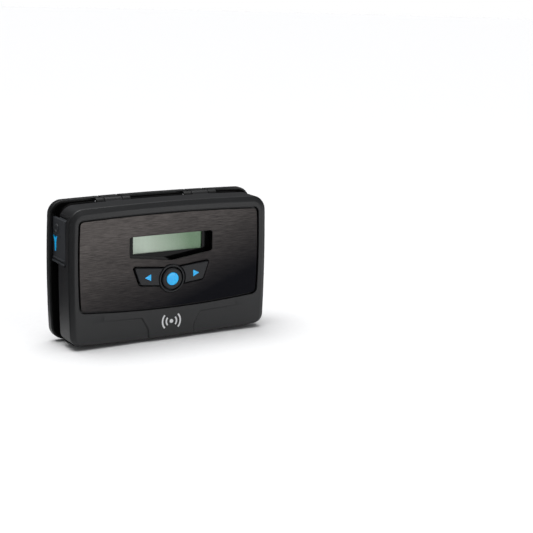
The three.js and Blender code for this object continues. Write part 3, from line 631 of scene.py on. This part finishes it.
def case_rings():
    """From the recess floor round the shadow groove, over rim and bevel, and back along the inside."""
    bed, moat = 0.4, 2.4
    lip, back_edge = reversed(quarter(0.25)), reversed(quarter(1.1, 6))
    rings = contour(PLATE, (bed, RECESS_FLOOR_Y), (bed, moat), (-PLATE_MARGIN, moat))
    rings += contour(PLATE, *[(-PLATE_MARGIN - inset, RIM_Y + depth) for inset, depth in lip])
    inner, outer = bowed(RIM), bowed(CASE)
    # Shares of the way from the rim's outer edge to the case's side, with depths: a softly rounded
    # edge, the flat bevel, and a second rounded edge.
    for share, depth in ((-0.16, 0.0), (-0.07, 0.012), (0.0, 0.045), (0.08, 0.10), (0.18, 0.17),
                         (0.84, 0.83), (0.91, 0.95), (0.96, 1.1), (0.99, 1.3), (1.0, 1.55)):
        rings.append(ring(between(inner, outer, share), RIM_Y + BEVEL_DEPTH * depth))
    rings += contour(CASE, *[(inset, CASE_BACK_Y - depth) for inset, depth in back_edge])
    return rings + contour(CASE, (WALL, CASE_BACK_Y), (WALL, FACE_BACK_Y))


def latch_housing(sign):
    outline = rectangle(FACE_BACK_Y - 0.5, CASE_BACK_Y - 0.05, -2.2, 30.4, 0.8)
    return slab("housing", outline, 60.4, 65.2, sideways(sign))


def latch_pocket(sign):
    end = CASE_BACK_Y + 3
    y0, z0, z1 = LATCH.y0 - 1.0, LATCH.z0 - 0.5, LATCH.z1 + 0.7
    x, z = sign * LATCH_PIN.x, LATCH_PIN.z
    room = slab("pocket", rectangle(y0, end, z0, z1, 0.5), LATCH.inner - GAP, 72, sideways(sign))
    barrel = slab("barrel_room", circle(LATCH_PIN.barrel + 0.4, x, z), y0, end)
    bore = slab("bore", circle(LATCH_PIN.bore, x, z, 32), y0 - 1.4, end)
    spring = slab("spring_room", rectangle(sign * 61.8, sign * 65, 0.9, 18.2), 8.6, 13.4)
    return [room, barrel, bore, spring]


def hinge_arm(sign):
    """The knuckle of the case, on an arm that grows out of the top wall."""
    cx = sign * HINGE.x
    front, top, under = HINGE_ARM.front, HINGE_ARM.top, HINGE_ARM.under
    knuckle = arc(HINGE.radius, math.radians(160), math.radians(-94), 24, HINGE.y, HINGE.z)
    outline = [(front, top - 0.9), (front + 0.7, top - 0.2), (front + 1.6, top), *knuckle,
               (HINGE.y - 1.2, under), (front, under)]
    return slab("arm", outline, cx - KNUCKLE.half, cx + KNUCKLE.half, sideways(1), 0.35, 0.35)


def hinge_bore(sign, half):
    cx = sign * HINGE.x
    return slab("bore", circle(HINGE.bore, HINGE.y, HINGE.z, 32), cx - half, cx + half, sideways(1))


def apron_pocket(sign):
    """A shallow pocket, deepest at its inner end, with a soft sloping edge."""
    below = CASE.z0 - 3.9
    outline = soft_polygon([
        (sign * POCKET.foot, below), (sign * POCKET.waist, POCKET.waist_z),
        (sign * POCKET.shoulder, POCKET.shoulder_z), (sign * POCKET.end, POCKET.end_z),
        (sign * POCKET.end, below)], 1.6)
    lean = math.tan(POCKET.slant)
    rings = []
    for grow, depth in ((-0.8, 0.0), (-0.5, -0.03), (-0.25, -0.14), (0.0, -0.4), (0.25, -0.75), (0.9, -1.9),
                        (1.6, -4.0)):
        points = grown(outline, grow)
        rings.append([(x, RIM_Y + POCKET.depth + depth - abs(x) * lean, z) for x, z in points])
    return solid("apron_pocket", rings)


def key_holes(name, y0, y1, wing_grow, round_radius, flare=0.0):
    """Cutters for the three keys, opening out by `flare` at the front."""
    made = []
    wings = [wing_outline(sign, wing_grow) for _, sign in SIDES]
    for outline in (circle(round_radius, 0, KEY_Z, 96), *wings):
        rings = [ring(outline, y1), ring(outline, y0 + flare)]
        if flare:
            rings += [ring(grown(outline, flare), y0), ring(grown(outline, 2 * flare), y0 - flare)]
        made.append(solid(name, rings))
    return made


def front_cover():
    cover = solid("cover_shell", case_rings())
    parts = [latch_housing(sign) for _, sign in SIDES] + [hinge_arm(sign) for _, sign in SIDES]
    parts += [slab("boss", circle(3.2, x, z), FACE_BACK_Y - 0.5, BOARD.front - GAP)
              for x, z in BOARD_SCREWS]
    fused(cover, *parts)
    cutters = [slab("opening", opening_outline(SURROUND_WALL + GAP), -5, 5)]
    cutters += key_holes("key_hole", -5, 5, 0.9, SELECT_RADIUS + 0.5)
    for _, sign in SIDES:
        cutters += latch_pocket(sign)
        cutters += [apron_pocket(sign), hinge_bore(sign, 8)]
    cutters += [slab("screw_hole", circle(1.3, x, z, 24), FACE_BACK_Y + 0.6, BOARD.front + 1)
                for x, z in BOARD_SCREWS]
    cut(cover, *cutters)
    return dressed(cover, "case_plastic", "case", ["front_cover"])


def face_plate():
    """The brushed plate, with a fine bright chamfer round its outside and every opening."""
    chamfer = 0.16
    plate = solid("face_inlay", [
        ring(bowed(PLATE, chamfer), 0.0), ring(bowed(PLATE), chamfer), ring(bowed(PLATE), PLATE_THICKNESS)])
    window = opening_outline()
    rings = [ring(window, 2), ring(window, chamfer), ring(grown(window, chamfer), 0.0),
             ring(grown(window, 2 * chamfer), -chamfer)]
    cut(plate, solid("window", rings), *key_holes("key_hole", 0.0, 2, 0.95, COLLAR.outer + 0.4, chamfer))
    dressed(plate, "face_metal", "case", ["face_plate"], sharp=20)
    strokes = plate.data.uv_layers.new(name="strokes")
    for loop in plate.data.loops:
        point = plate.data.vertices[loop.vertex_index].co
        strokes.data[loop.index].uv = (point.z * 10, point.x * 10)
    return plate


def display_surround():
    """The gloss black walls of the display opening, with a rounded front lip."""
    inner, outer = opening_outline(), opening_outline(SURROUND_WALL)
    front, back, lip = PLATE_THICKNESS + GAP * 0.2, LCD_Y - GAP * 0.2, 0.3
    rings = [ring(inner, back), ring(inner, front + lip), ring(grown(inner, lip * 0.3), front + lip * 0.3),
             ring(grown(inner, lip), front), ring(outer, front), ring(outer, back)]
    surround = solid("display_walls", rings, loop=True)
    return dressed(surround, "gloss_black", "case", ["display_surround"])


def call_mark():
    """A printed wireless-call pictogram: a dot between two pairs of arcs."""
    centre_z, thickness, stroke, spread = -39.4, 0.03, 0.5, math.radians(42)
    pieces = [slab("call_mark", circle(1.25, 0, centre_z, 40), RIM_Y - thickness, RIM_Y + 0.1)]
    for radius in (3.5, 6.1):
        for middle in (0.0, math.pi):
            outer, inner = [arc(radius + side * stroke, middle - spread, middle + spread, 18, 0, centre_z)
                            for side in (1, -1)]
            pieces.append(slab("arc", outer + inner[::-1], RIM_Y - thickness, RIM_Y + 0.1))
    mark = fused(pieces[0], *pieces[1:])
    return dressed(mark, "white_print", "case")


# ---- Keys
def wing_key(side, sign):
    hollow = COLLAR.outer + 0.5
    front, stop = KEY.front, KEY.stop
    cap = slab(f"wing_key_{side}", wing_outline(sign, hollow=hollow), front, stop + 0.2, facing, 0.42)
    foot = slab("foot", wing_outline(sign, 1.3, hollow=hollow + 1.4), stop, stop + 0.9)
    post = slab("post", circle(1.6, sign * 16.2, MARK.z, 32), stop + 0.8, 5.0, facing, 0.0, 0.3)
    fused(cap, foot, post)
    cut(cap, slab("mark_room", mark_outline(sign, 0.06), front - 1, front + MARK.thickness + 0.1))
    dressed(cap, "key_plastic", f"{side}_key", [f"key_{side}"])
    mark = slab(f"wing_mark_{side}", mark_outline(sign), front - 0.04, front + MARK.thickness, facing, 0.1)
    dressed(mark, "azure_plastic", f"{side}_key", [f"key_mark_{side}"])


def select_collar():
    outer, inner, front = COLLAR.outer, COLLAR.inner, COLLAR.front
    back = RECESS_FLOOR_Y - 0.1
    profile = [(inner, back), (inner, front + 0.35), (inner + 0.1, front + 0.12), (inner + 0.32, front),
               (outer - 0.32, front), (outer - 0.1, front + 0.12), (outer, front + 0.35), (outer, back)]
    collar = turned("round_collar", profile, 0, KEY_Z, sides=96, loop=True)
    return dressed(collar, "key_plastic", "case", ["select_collar"])


def select_key():
    r, stop, flange = SELECT_RADIUS, KEY.stop, KEY.flange
    pocket = DISC.radius + 0.12
    floor = DISC.back + GAP
    cap = turned("round_key", [
        (pocket, floor), (pocket, -1.62), (pocket + 0.12, -1.72), (pocket + 0.9, -1.62),
        (r - 0.75, -1.5), (r - 0.3, -1.34), (r - 0.08, -1.12), (r, -0.8), (r, stop), (r + flange, stop),
        (r + flange, stop + 0.9), (1.6, stop + 0.9), (1.6, 4.8), (1.4, 5.0)], 0, KEY_Z, sides=96)
    dressed(cap, "key_plastic", "select_key", ["select_cap"])
    radius, front, back = DISC.radius, DISC.front, DISC.back
    dome = ((0.3, 0.01), (0.55, 0.05), (0.78, 0.11), (0.92, 0.2), (0.985, 0.32), (1.0, 0.5))
    profile = [(0.3, front), *[(radius * share, front + fall) for share, fall in dome], (radius, back)]
    disc = turned("round_disc", profile, 0, KEY_Z, sides=96)
    dressed(disc, "azure_plastic", "select_key", ["select_disc"])


# ---- Rear tray
def tray_rings():
    """From the inner floor forward up the neck, back to the flange, over its edge and to the rear."""
    wall, floor, neck, flange = TRAY.wall, TRAY.floor_front, TRAY.neck_front, TRAY.flange_front
    rings = contour(NECK, (wall, floor), (wall, neck + 0.4), (wall - 0.4, neck), (0.4, neck),
                    (0.0, neck + 0.4), (0.0, flange))
    rings += contour(FLANGE, *[(inset, flange + depth) for inset, depth in quarter(0.5)])
    rings += contour(FLANGE, *[(inset, REAR_Y - depth) for inset, depth in reversed(quarter(1.4, 7))])
    return rings


def sill():
    """The ledge under the case that the two front feet stand on."""
    outline = grown([p for p in bowed(FLANGE) if p[1] < SILL.top], 0.0)
    return slab("sill", outline, SILL.front, TRAY.flange_front + 1, facing, 0.6)


def tray_lug(cx, end):
    inner = KNUCKLE.half + KNUCKLE.gap
    x0 = cx + (inner if end > 0 else -inner - KNUCKLE.side)
    back, foot = TRAY.floor_front + 0.5, HINGE.z - 3.6
    barrel = arc(HINGE.radius, math.radians(-150), math.radians(-375), 24, HINGE.y, HINGE.z)
    outline = [(back, foot), (HINGE.y - 1.8, foot), *barrel, (back, HINGE.z + 0.6)]
    return slab("lug", outline, x0, x0 + KNUCKLE.side, sideways(1), 0.25, 0.25)


def notch(sign, half, y0, y1, z0, z1=60):
    cx = sign * HINGE.x
    return slab("notch", rectangle(cx - half, cx + half, z0, z1, 0.4), y0, y1)


def keyhole(sign):
    """A round seat that a screw head fits and the slot above it, with a soft mouth."""
    x, z, seat, slot = sign * KEYHOLE.x, KEYHOLE.z, KEYHOLE.seat, KEYHOLE.slot
    y0 = REAR_Y - KEYHOLE.depth
    made = []
    for outline in (circle(seat, x, z, 48), rectangle(x - slot, x + slot, z, KEYHOLE.slot_top, 1.9)):
        made.append(solid("keyhole", [
            ring(outline, y0), ring(outline, REAR_Y - 0.3), ring(grown(outline, 0.35), REAR_Y + 0.05),
            ring(grown(outline, 0.6), REAR_Y + 1)]))
    return made


def floor_ribs():
    """Low stiffening ribs moulded across the tray's inner floor."""
    floor = TRAY.floor_front
    half = 0.5
    ribs = [slab("rib", rectangle(x - half, x + half, -44.5, 27.5, 0.3), floor - 0.5, floor + 0.3)
            for x in (-44, -15, 15, 44)]
    ribs += [slab("rib", rectangle(-58.5, 58.5, z - half, z + half, 0.3), floor - 0.5, floor + 0.3)
             for z in (-30, -8, 14)]
    return ribs


def rear_tray():
    tray = solid("tray_shell", tray_rings())
    seats = [slab("seat", rectangle(side * FOOT.x - 8, side * FOOT.x + 8, FOOT.z1, SILL.top + 0.3, 0.2),
                  y - 3.2, y + 3.2, facing, 0.2, 0.2) for y in FOOT.y for side in (-1, 1)]
    fused(tray, sill(), *seats, *floor_ribs())
    full = KNUCKLE.half + 2 * KNUCKLE.gap + KNUCKLE.side
    cutters = []
    for _, sign in SIDES:
        cutters.append(notch(sign, full, 0, TRAY.flange_front, HINGE.z - 3.2))
        for end in (-1, 1):
            x, half = sign * HINGE.x + end * TRAY_GROOVE.offset, TRAY_GROOVE.width / 2
            outline = rectangle(x - half, x + half, TRAY_GROOVE.z0, 60, 0.3)
            cutters.append(slab("groove", outline, 20, REAR_Y + 1))
        cutters += keyhole(sign)
    cut(tray, *cutters)
    fused(tray, *[tray_lug(sign * HINGE.x, end) for _, sign in SIDES for end in (-1, 1)])
    label = rectangle(-27, 27, -36, -12, 1.6)
    label_room = solid("label_room", [ring(label, REAR_Y - 0.25), ring(grown(label, 0.5), REAR_Y + 0.25)])
    cut(tray, *[hinge_bore(sign, 12) for _, sign in SIDES], label_room)
    return dressed(tray, "tray_plastic", "tray", ["rear_tray"])


def case_seal(name, x0, x1):
    """One length of the weather strip: a ribbed band with a skirt that lies on the tray's flange."""
    front, back = CASE_BACK_Y + 0.4, TRAY.flange_front - GAP * 0.4
    rings = contour(NECK, (-GAP, back), (-GAP, front))
    rings += contour(SEAL, (0.5, front), (0.0, front + 0.5), (0.0, 18.3), (0.7, 18.9), (0.7, 20.1),
                     (0.0, 20.7), (0.0, 22.2), (0.7, 22.8), (0.7, 23.6), (0.2, back - 0.9))
    rings += contour(FLANGE, (1.3, back - 0.9), (1.1, back - 0.6), (1.1, back))
    seal = solid(name, rings, loop=True)
    full = KNUCKLE.half + 3 * KNUCKLE.gap + KNUCKLE.side
    cutters = [slab("below", rectangle(-90, 90, -70, SILL.top + GAP), 0, 40)]
    for _, sign in SIDES:
        cutters.append(notch(sign, full, 0, 40, 10))
        cutters.append(slab("barrel", circle(LATCH_PIN.barrel + 1.4, sign * LATCH_PIN.x, LATCH_PIN.z),
                            0, back - 1.1))
        cutters.append(slab("latch_room", rectangle(0, 40, LATCH.z0 - 0.5, LATCH.z1 + 0.9), 64.5, 75,
                            sideways(sign)))
    cut(seal, *cutters)
    combined(seal, "INTERSECT", [slab("span", rectangle(x0, x1, -90, 90), 0, 40)])
    return dressed(seal, "seal_rubber", "tray", [name.replace("strip", "seal")])


def feet():
    for row, y in zip(("front", "rear"), FOOT.y):
        for side, sign in SIDES:
            x = sign * FOOT.x
            outline = oblong(x, y, FOOT.half_x, FOOT.half_y, 1.6)
            pad = slab(f"pad_{row}_{side}", outline, FOOT.z0, FOOT.z1, upward, 0.2, 0.05)
            dressed(pad, "foot_rubber", "tray", [f"foot_{row}_{side}"])


def hinge_pin(side, sign):
    half = KNUCKLE.half + KNUCKLE.gap + KNUCKLE.side + 0.5
    radius, cx = HINGE.pin, sign * HINGE.x
    profile = [(radius * 0.3, cx - half), (radius * 0.75, cx - half + 0.12), (radius, cx - half + 0.4),
               (radius, cx + half - 0.4), (radius * 0.75, cx + half - 0.12), (radius * 0.3, cx + half)]
    pin = turned(f"pin_{side}", profile, HINGE.y, HINGE.z, sideways(1), 40)
    dressed(pin, "pin_steel", "tray", [f"hinge_pin_{side}"])


# ---- Side latches
def side_latch(side, sign):
    lay = sideways(sign)
    y0, y1, z0, z1 = LATCH.y0, LATCH.y1, LATCH.z0, LATCH.z1
    inner, outer = LATCH.inner, LATCH.outer
    name = f"latch_plate_{side}"
    plate = slab(name, rectangle(y0, y1, z0, z1 - 1.0, 0.6), inner, outer, lay, 0.1, 0.4)
    lip = slab("lip", rectangle(y0, y1, z0, z0 + 1.3, 0.5), inner, outer + 1.1, lay, 0.0, 0.45)
    rib = slab("rib", rectangle(y0 + 0.4, y1 - 0.4, z0 + 2.1, z0 + 3.3, 0.5),
               inner + 0.3, outer + 0.7, lay, 0.0, 0.4)
    knuckle = slab("knuckle", circle(LATCH_PIN.barrel, sign * LATCH_PIN.x, LATCH_PIN.z, 48),
                   y0, CASE_BACK_Y - 0.3, facing, 0.2, 0.2)
    ring_at = (LATCH_RING.y, LATCH_RING.z, 56)
    raised = slab("raised", circle(LATCH_RING.outer, *ring_at), outer - 0.5, outer + 0.7, lay, 0.0, 0.3)
    fused(plate, lip, rib, knuckle, raised)
    dimple = solid("dimple", [
        ring(circle(LATCH_RING.inner + wider, *ring_at), outer + rise, lay)
        for wider, rise in ((-0.25, 0.12), (0.0, 0.35), (0.5, 1.2))])
    arrow_room = slab("arrow_room", arrow_outline(0.12), outer - ARROW.depth - 0.1, outer + 1, lay)
    bore = slab("bore", circle(LATCH_PIN.bore, sign * LATCH_PIN.x, LATCH_PIN.z, 32), 0, REAR_Y)
    cut(plate, dimple, arrow_room, bore)
    dressed(plate, "latch_plastic", f"{side}_latch", [f"side_latch_{side}"])
    arrow = slab(f"arrow_{side}", arrow_outline(), outer - ARROW.depth, outer + 0.05, lay, 0.0, 0.1)
    dressed(arrow, "azure_plastic", f"{side}_latch", [f"latch_arrow_{side}"])


# ---- Board: its screws and small parts are made here, the rest keeps the frame's own mesh
def board_screw(number, x, z):
    seat = ON_BOARD
    screw = turned(f"screw_{number}", [
        (0.5, seat - 6.4), (0.95, seat - 5.6), (0.95, seat), (2.4, seat), (2.4, seat + 0.7),
        (2.2, seat + 1.1), (1.6, seat + 1.45), (0.8, seat + 1.6)], x, z, sides=40)
    cross = [slab("slot", oblong(x, z, a, b, 0.1), seat + 0.7, seat + 2)
             for a, b in ((1.35, 0.28), (0.28, 1.35))]
    cut(screw, *cross)
    dressed(screw, "pin_steel", "case", [f"board_screw_{number}"])


def chip_parts():
    """Two rows of chip resistors and capacitors beside the controller, tinned at both ends."""
    pick = random.Random(5)
    half_x, half_z = 1.0, 0.6
    places = [(x, z) for z in (2.0, -0.9) for x in (-8, -4.6, -1.2, 2.2, 5.6, 9.0)]
    places += [(x, z) for x in (48.5, 51.5) for z in (12, 7.5, 3, -1.5, -6, -10.5)]
    for number, (x, z) in enumerate(places):
        tall = pick.choice((0.5, 0.7, 0.9))
        upright = x > 40
        a, b = (half_z, half_x) if upright else (half_x, half_z)
        name = f"chip_{number + 1:02d}"
        chip = slab(name, oblong(x, z, a, b, 0.12), BOARD.back + 0.02, BOARD.back + tall, facing, 0.0, 0.1)
        dressed(chip, "chip_epoxy", "case")
        for end in (-1, 1):
            ex, ez = (x, z + end * (b + 0.05)) if upright else (x + end * (a + 0.05), z)
            ca, cb = (a + 0.06, 0.22) if upright else (0.22, b + 0.06)
            tip = slab(f"{name}_end_{'ab'[end > 0]}", oblong(ex, ez, ca, cb, 0.08),
                       BOARD.back + 0.01, BOARD.back + tall + 0.04, facing, 0.0, 0.08)
            dressed(tip, "tin_plate", "case")


def controller_legs():
    """Gull-wing legs on all four sides of the controller."""
    half, pitch, count = 7.0, 1.2, 10
    cx, cz = 1.0, 13.0
    number = 0
    for turn in range(4):
        angle = turn * math.pi / 2
        for k in range(count):
            along = (k - (count - 1) / 2) * pitch
            number += 1
            profile = [(half - 0.2, 0.9), (half + 0.35, 0.9), (half + 0.6, 0.2), (half + 1.3, 0.15),
                       (half + 1.3, 0.02), (half + 0.5, 0.02), (half + 0.25, 0.75), (half - 0.2, 0.75)]
            rings = []
            for side in (-0.22, 0.22):
                points = []
                for reach, rise in profile:
                    x = reach * math.cos(angle) - (along + side) * math.sin(angle)
                    z = reach * math.sin(angle) + (along + side) * math.cos(angle)
                    points.append((cx + x, BOARD.back + rise, cz + z))
                rings.append(points)
            leg = solid(f"controller_leg_{number:02d}", rings)
            dressed(leg, "tin_plate", "case")


FRAME_FINISHES = {
    "gloss_black": ("lcd_frame",),
    "lcd_cell": ("lcd_cell",),
    "backlight": ("lcd_backlight",),
    "board_laminate": ("main_board",),
    "chip_epoxy": ("display_header", "switch_left", "switch_right", "switch_select", "controller_chip",
                   "sounder", "battery_holder"),
    "tin_plate": ("radio_can", "crystal", "capacitor_1", "capacitor_2", "capacitor_3"),
    "foot_rubber": ("antenna",),
    "cell_wrap": ("battery_pack",),
    "pin_steel": ("latch_pin_left", "latch_pin_right", "latch_spring_left", "latch_spring_right"),
}

front_cover()
face_plate()
display_surround()
call_mark()
select_collar()
select_key()
rear_tray()
case_seal("case_strip_left", -90, -HINGE.x)
case_seal("case_strip_top", -HINGE.x, HINGE.x)
case_seal("case_strip_right", HINGE.x, 90)
feet()
for side_name, side_sign in SIDES:
    wing_key(side_name, side_sign)
    hinge_pin(side_name, side_sign)
    side_latch(side_name, side_sign)
for screw_number, screw_place in enumerate(BOARD_SCREWS, 1):
    board_screw(screw_number, *screw_place)
chip_parts()
controller_legs()
for finish_name, node_names in FRAME_FINISHES.items():
    for node_name in node_names:
        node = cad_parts[node_name]
        node.data.materials.clear()
        node.data.materials.append(MATERIALS[finish_name])


# ---- Stage, lights and camera
FLOOR_HALF = 6.0
DOME_RADIUS = 6.0
BACKDROP = 1.0
# The dark cards lie left of the object: from its side outwards, from before it to behind it, and up.
CARD_X = (-0.9, -0.085)
CARD_Y = (-0.5, 1.2)
CARD_Z = (0.004, 0.6)


def placed(name, mesh, material, unseen_by=()):
    """An object of the set, hidden from the kinds of ray in `unseen_by`."""
    made = bpy.data.objects.new(name, mesh)
    mesh.materials.append(material)
    bpy.context.scene.collection.objects.link(made)
    for ray in unseen_by:
        setattr(made, f"visible_{ray}", False)
    return made


def four_sided(name, corners):
    mesh = bpy.data.meshes.new(name)
    mesh.from_pydata(corners, [], [(0, 1, 2, 3)])
    return mesh


def stage_floor():
    corners = [(x, y, 0) for x, y in oblong(0, 0, FLOOR_HALF, FLOOR_HALF)]
    floor = placed("floor", four_sided("floor", corners), floor_paper())


def stage_backdrop():
    """A plain pale surround that shows behind the object but throws no light on it."""
    work = bmesh.new()
    bmesh.ops.create_uvsphere(work, u_segments=48, v_segments=24, radius=DOME_RADIUS)
    mesh = bpy.data.meshes.new("backdrop")
    work.to_mesh(mesh)
    work.free()
    glow = Surface("backdrop_paper", Base_Color=(0, 0, 0, 1), Emission_Color=(BACKDROP,) * 3 + (1,),
                   Emission_Strength=1.0, Specular_IOR_Level=0.0)
    unseen_by = ("diffuse", "glossy", "transmission", "volume_scatter", "shadow")
    backdrop = placed("backdrop", mesh, glow.material, unseen_by)


def dark_card(name, corners):
    """A dark card that only reflections see: it keeps the floor's glare off the side wall."""
    felt = Surface(name, Base_Color=(0.11, 0.11, 0.115, 1), Roughness=1.0, Specular_IOR_Level=0.0)
    unseen_by = ("camera", "diffuse", "transmission", "volume_scatter", "shadow")
    card = placed(name, four_sided(name, corners), felt.material, unseen_by)


def aimed(obj, place, target):
    obj.location = place
    obj.rotation_mode = "QUATERNION"
    obj.rotation_quaternion = (Vector(target) - Vector(place)).to_track_quat("-Z", "Y")
    bpy.context.scene.collection.objects.link(obj)


def soft_box(name, place, target, size, power, color=(1, 1, 1)):
    light = bpy.data.lights.new(name, "AREA")
    light.shape = "RECTANGLE"
    light.size, light.size_y = size
    light.energy = power
    light.color = color
    aimed(bpy.data.objects.new(name, light), place, target)


def sky(horizon, zenith):
    """A studio ceiling: soft light that fades towards the walls."""
    world = bpy.data.worlds.new("studio")
    world.use_nodes = True
    bpy.context.scene.world = world
    tree = world.node_tree
    height = tree.nodes.new("ShaderNodeSeparateXYZ")
    tree.links.new(tree.nodes.new("ShaderNodeTexCoord").outputs["Generated"], height.inputs["Vector"])
    fade = tree.nodes.new("ShaderNodeMapRange")
    for key, value in (("From Min", 0.25), ("From Max", 1.0), ("To Min", horizon), ("To Max", zenith)):
        fade.inputs[key].default_value = value
    tree.links.new(height.outputs["Z"], fade.inputs["Value"])
    tree.nodes["Background"].inputs["Color"].default_value = (0.97, 0.98, 1.0, 1)
    tree.links.new(fade.outputs["Result"], tree.nodes["Background"].inputs["Strength"])


def sun(strength, place, angle):
    light = bpy.data.lights.new("overhead", "SUN")
    light.energy = strength
    light.angle = math.radians(angle)
    aimed(bpy.data.objects.new("overhead", light), place, (0, 0, 0))


def camera():
    """Stands left of the object's front, a little above it, and leans by a degree."""
    yaw, pitch, roll = math.radians(31.1), math.radians(13.0), math.radians(1.39)
    # How far right of, below and ahead of the camera the middle of the face plate lies.
    offset = Vector((-58.0, -4.8, 795.0))
    turn = Matrix.Rotation(yaw, 3, "Z")
    tip = Matrix.Rotation(pitch, 3, "X")
    lean = Matrix.Rotation(roll, 3, "Z")
    to_view = Matrix(((1, 0, 0), (0, 0, -1), (0, 1, 0)))
    view = lean @ tip @ to_view @ turn
    place = view.transposed() @ -offset
    data = bpy.data.cameras.new("camera")
    data.sensor_width = 36.0
    data.lens = 87.8
    data.clip_start, data.clip_end = 0.01, 30.0
    made = bpy.data.objects.new("camera", data)
    bpy.context.scene.collection.objects.link(made)
    axes = Matrix((view[0], -view[1], -view[2])).transposed()
    made.matrix_world = Matrix.Translation(face_point(place)) @ axes.to_4x4()
    bpy.context.scene.camera = made


stage_floor()
stage_backdrop()
dark_card("side_card", [(x, y, CARD_Z[0]) for x, y in rectangle(*CARD_X, *CARD_Y)])
dark_card("wall_card", [(CARD_X[0], y, z) for y, z in rectangle(*CARD_Y, *CARD_Z)])
# The strengths were tuned against the photo.
sky(0.06, 0.5)
sun(2.9, (-0.1, 0.1, 1.0), 50)
soft_box("key_box", (0.09, -0.63, 0.72), (0, 0, 0.05), (0.25, 0.25), 0.6)
soft_box("low_box", (0.31, -0.76, 0.10), (0, 0, 0.05), (0.45, 0.18), 1.2)
camera()
bpy.context.scene.view_settings.view_transform = "Standard"
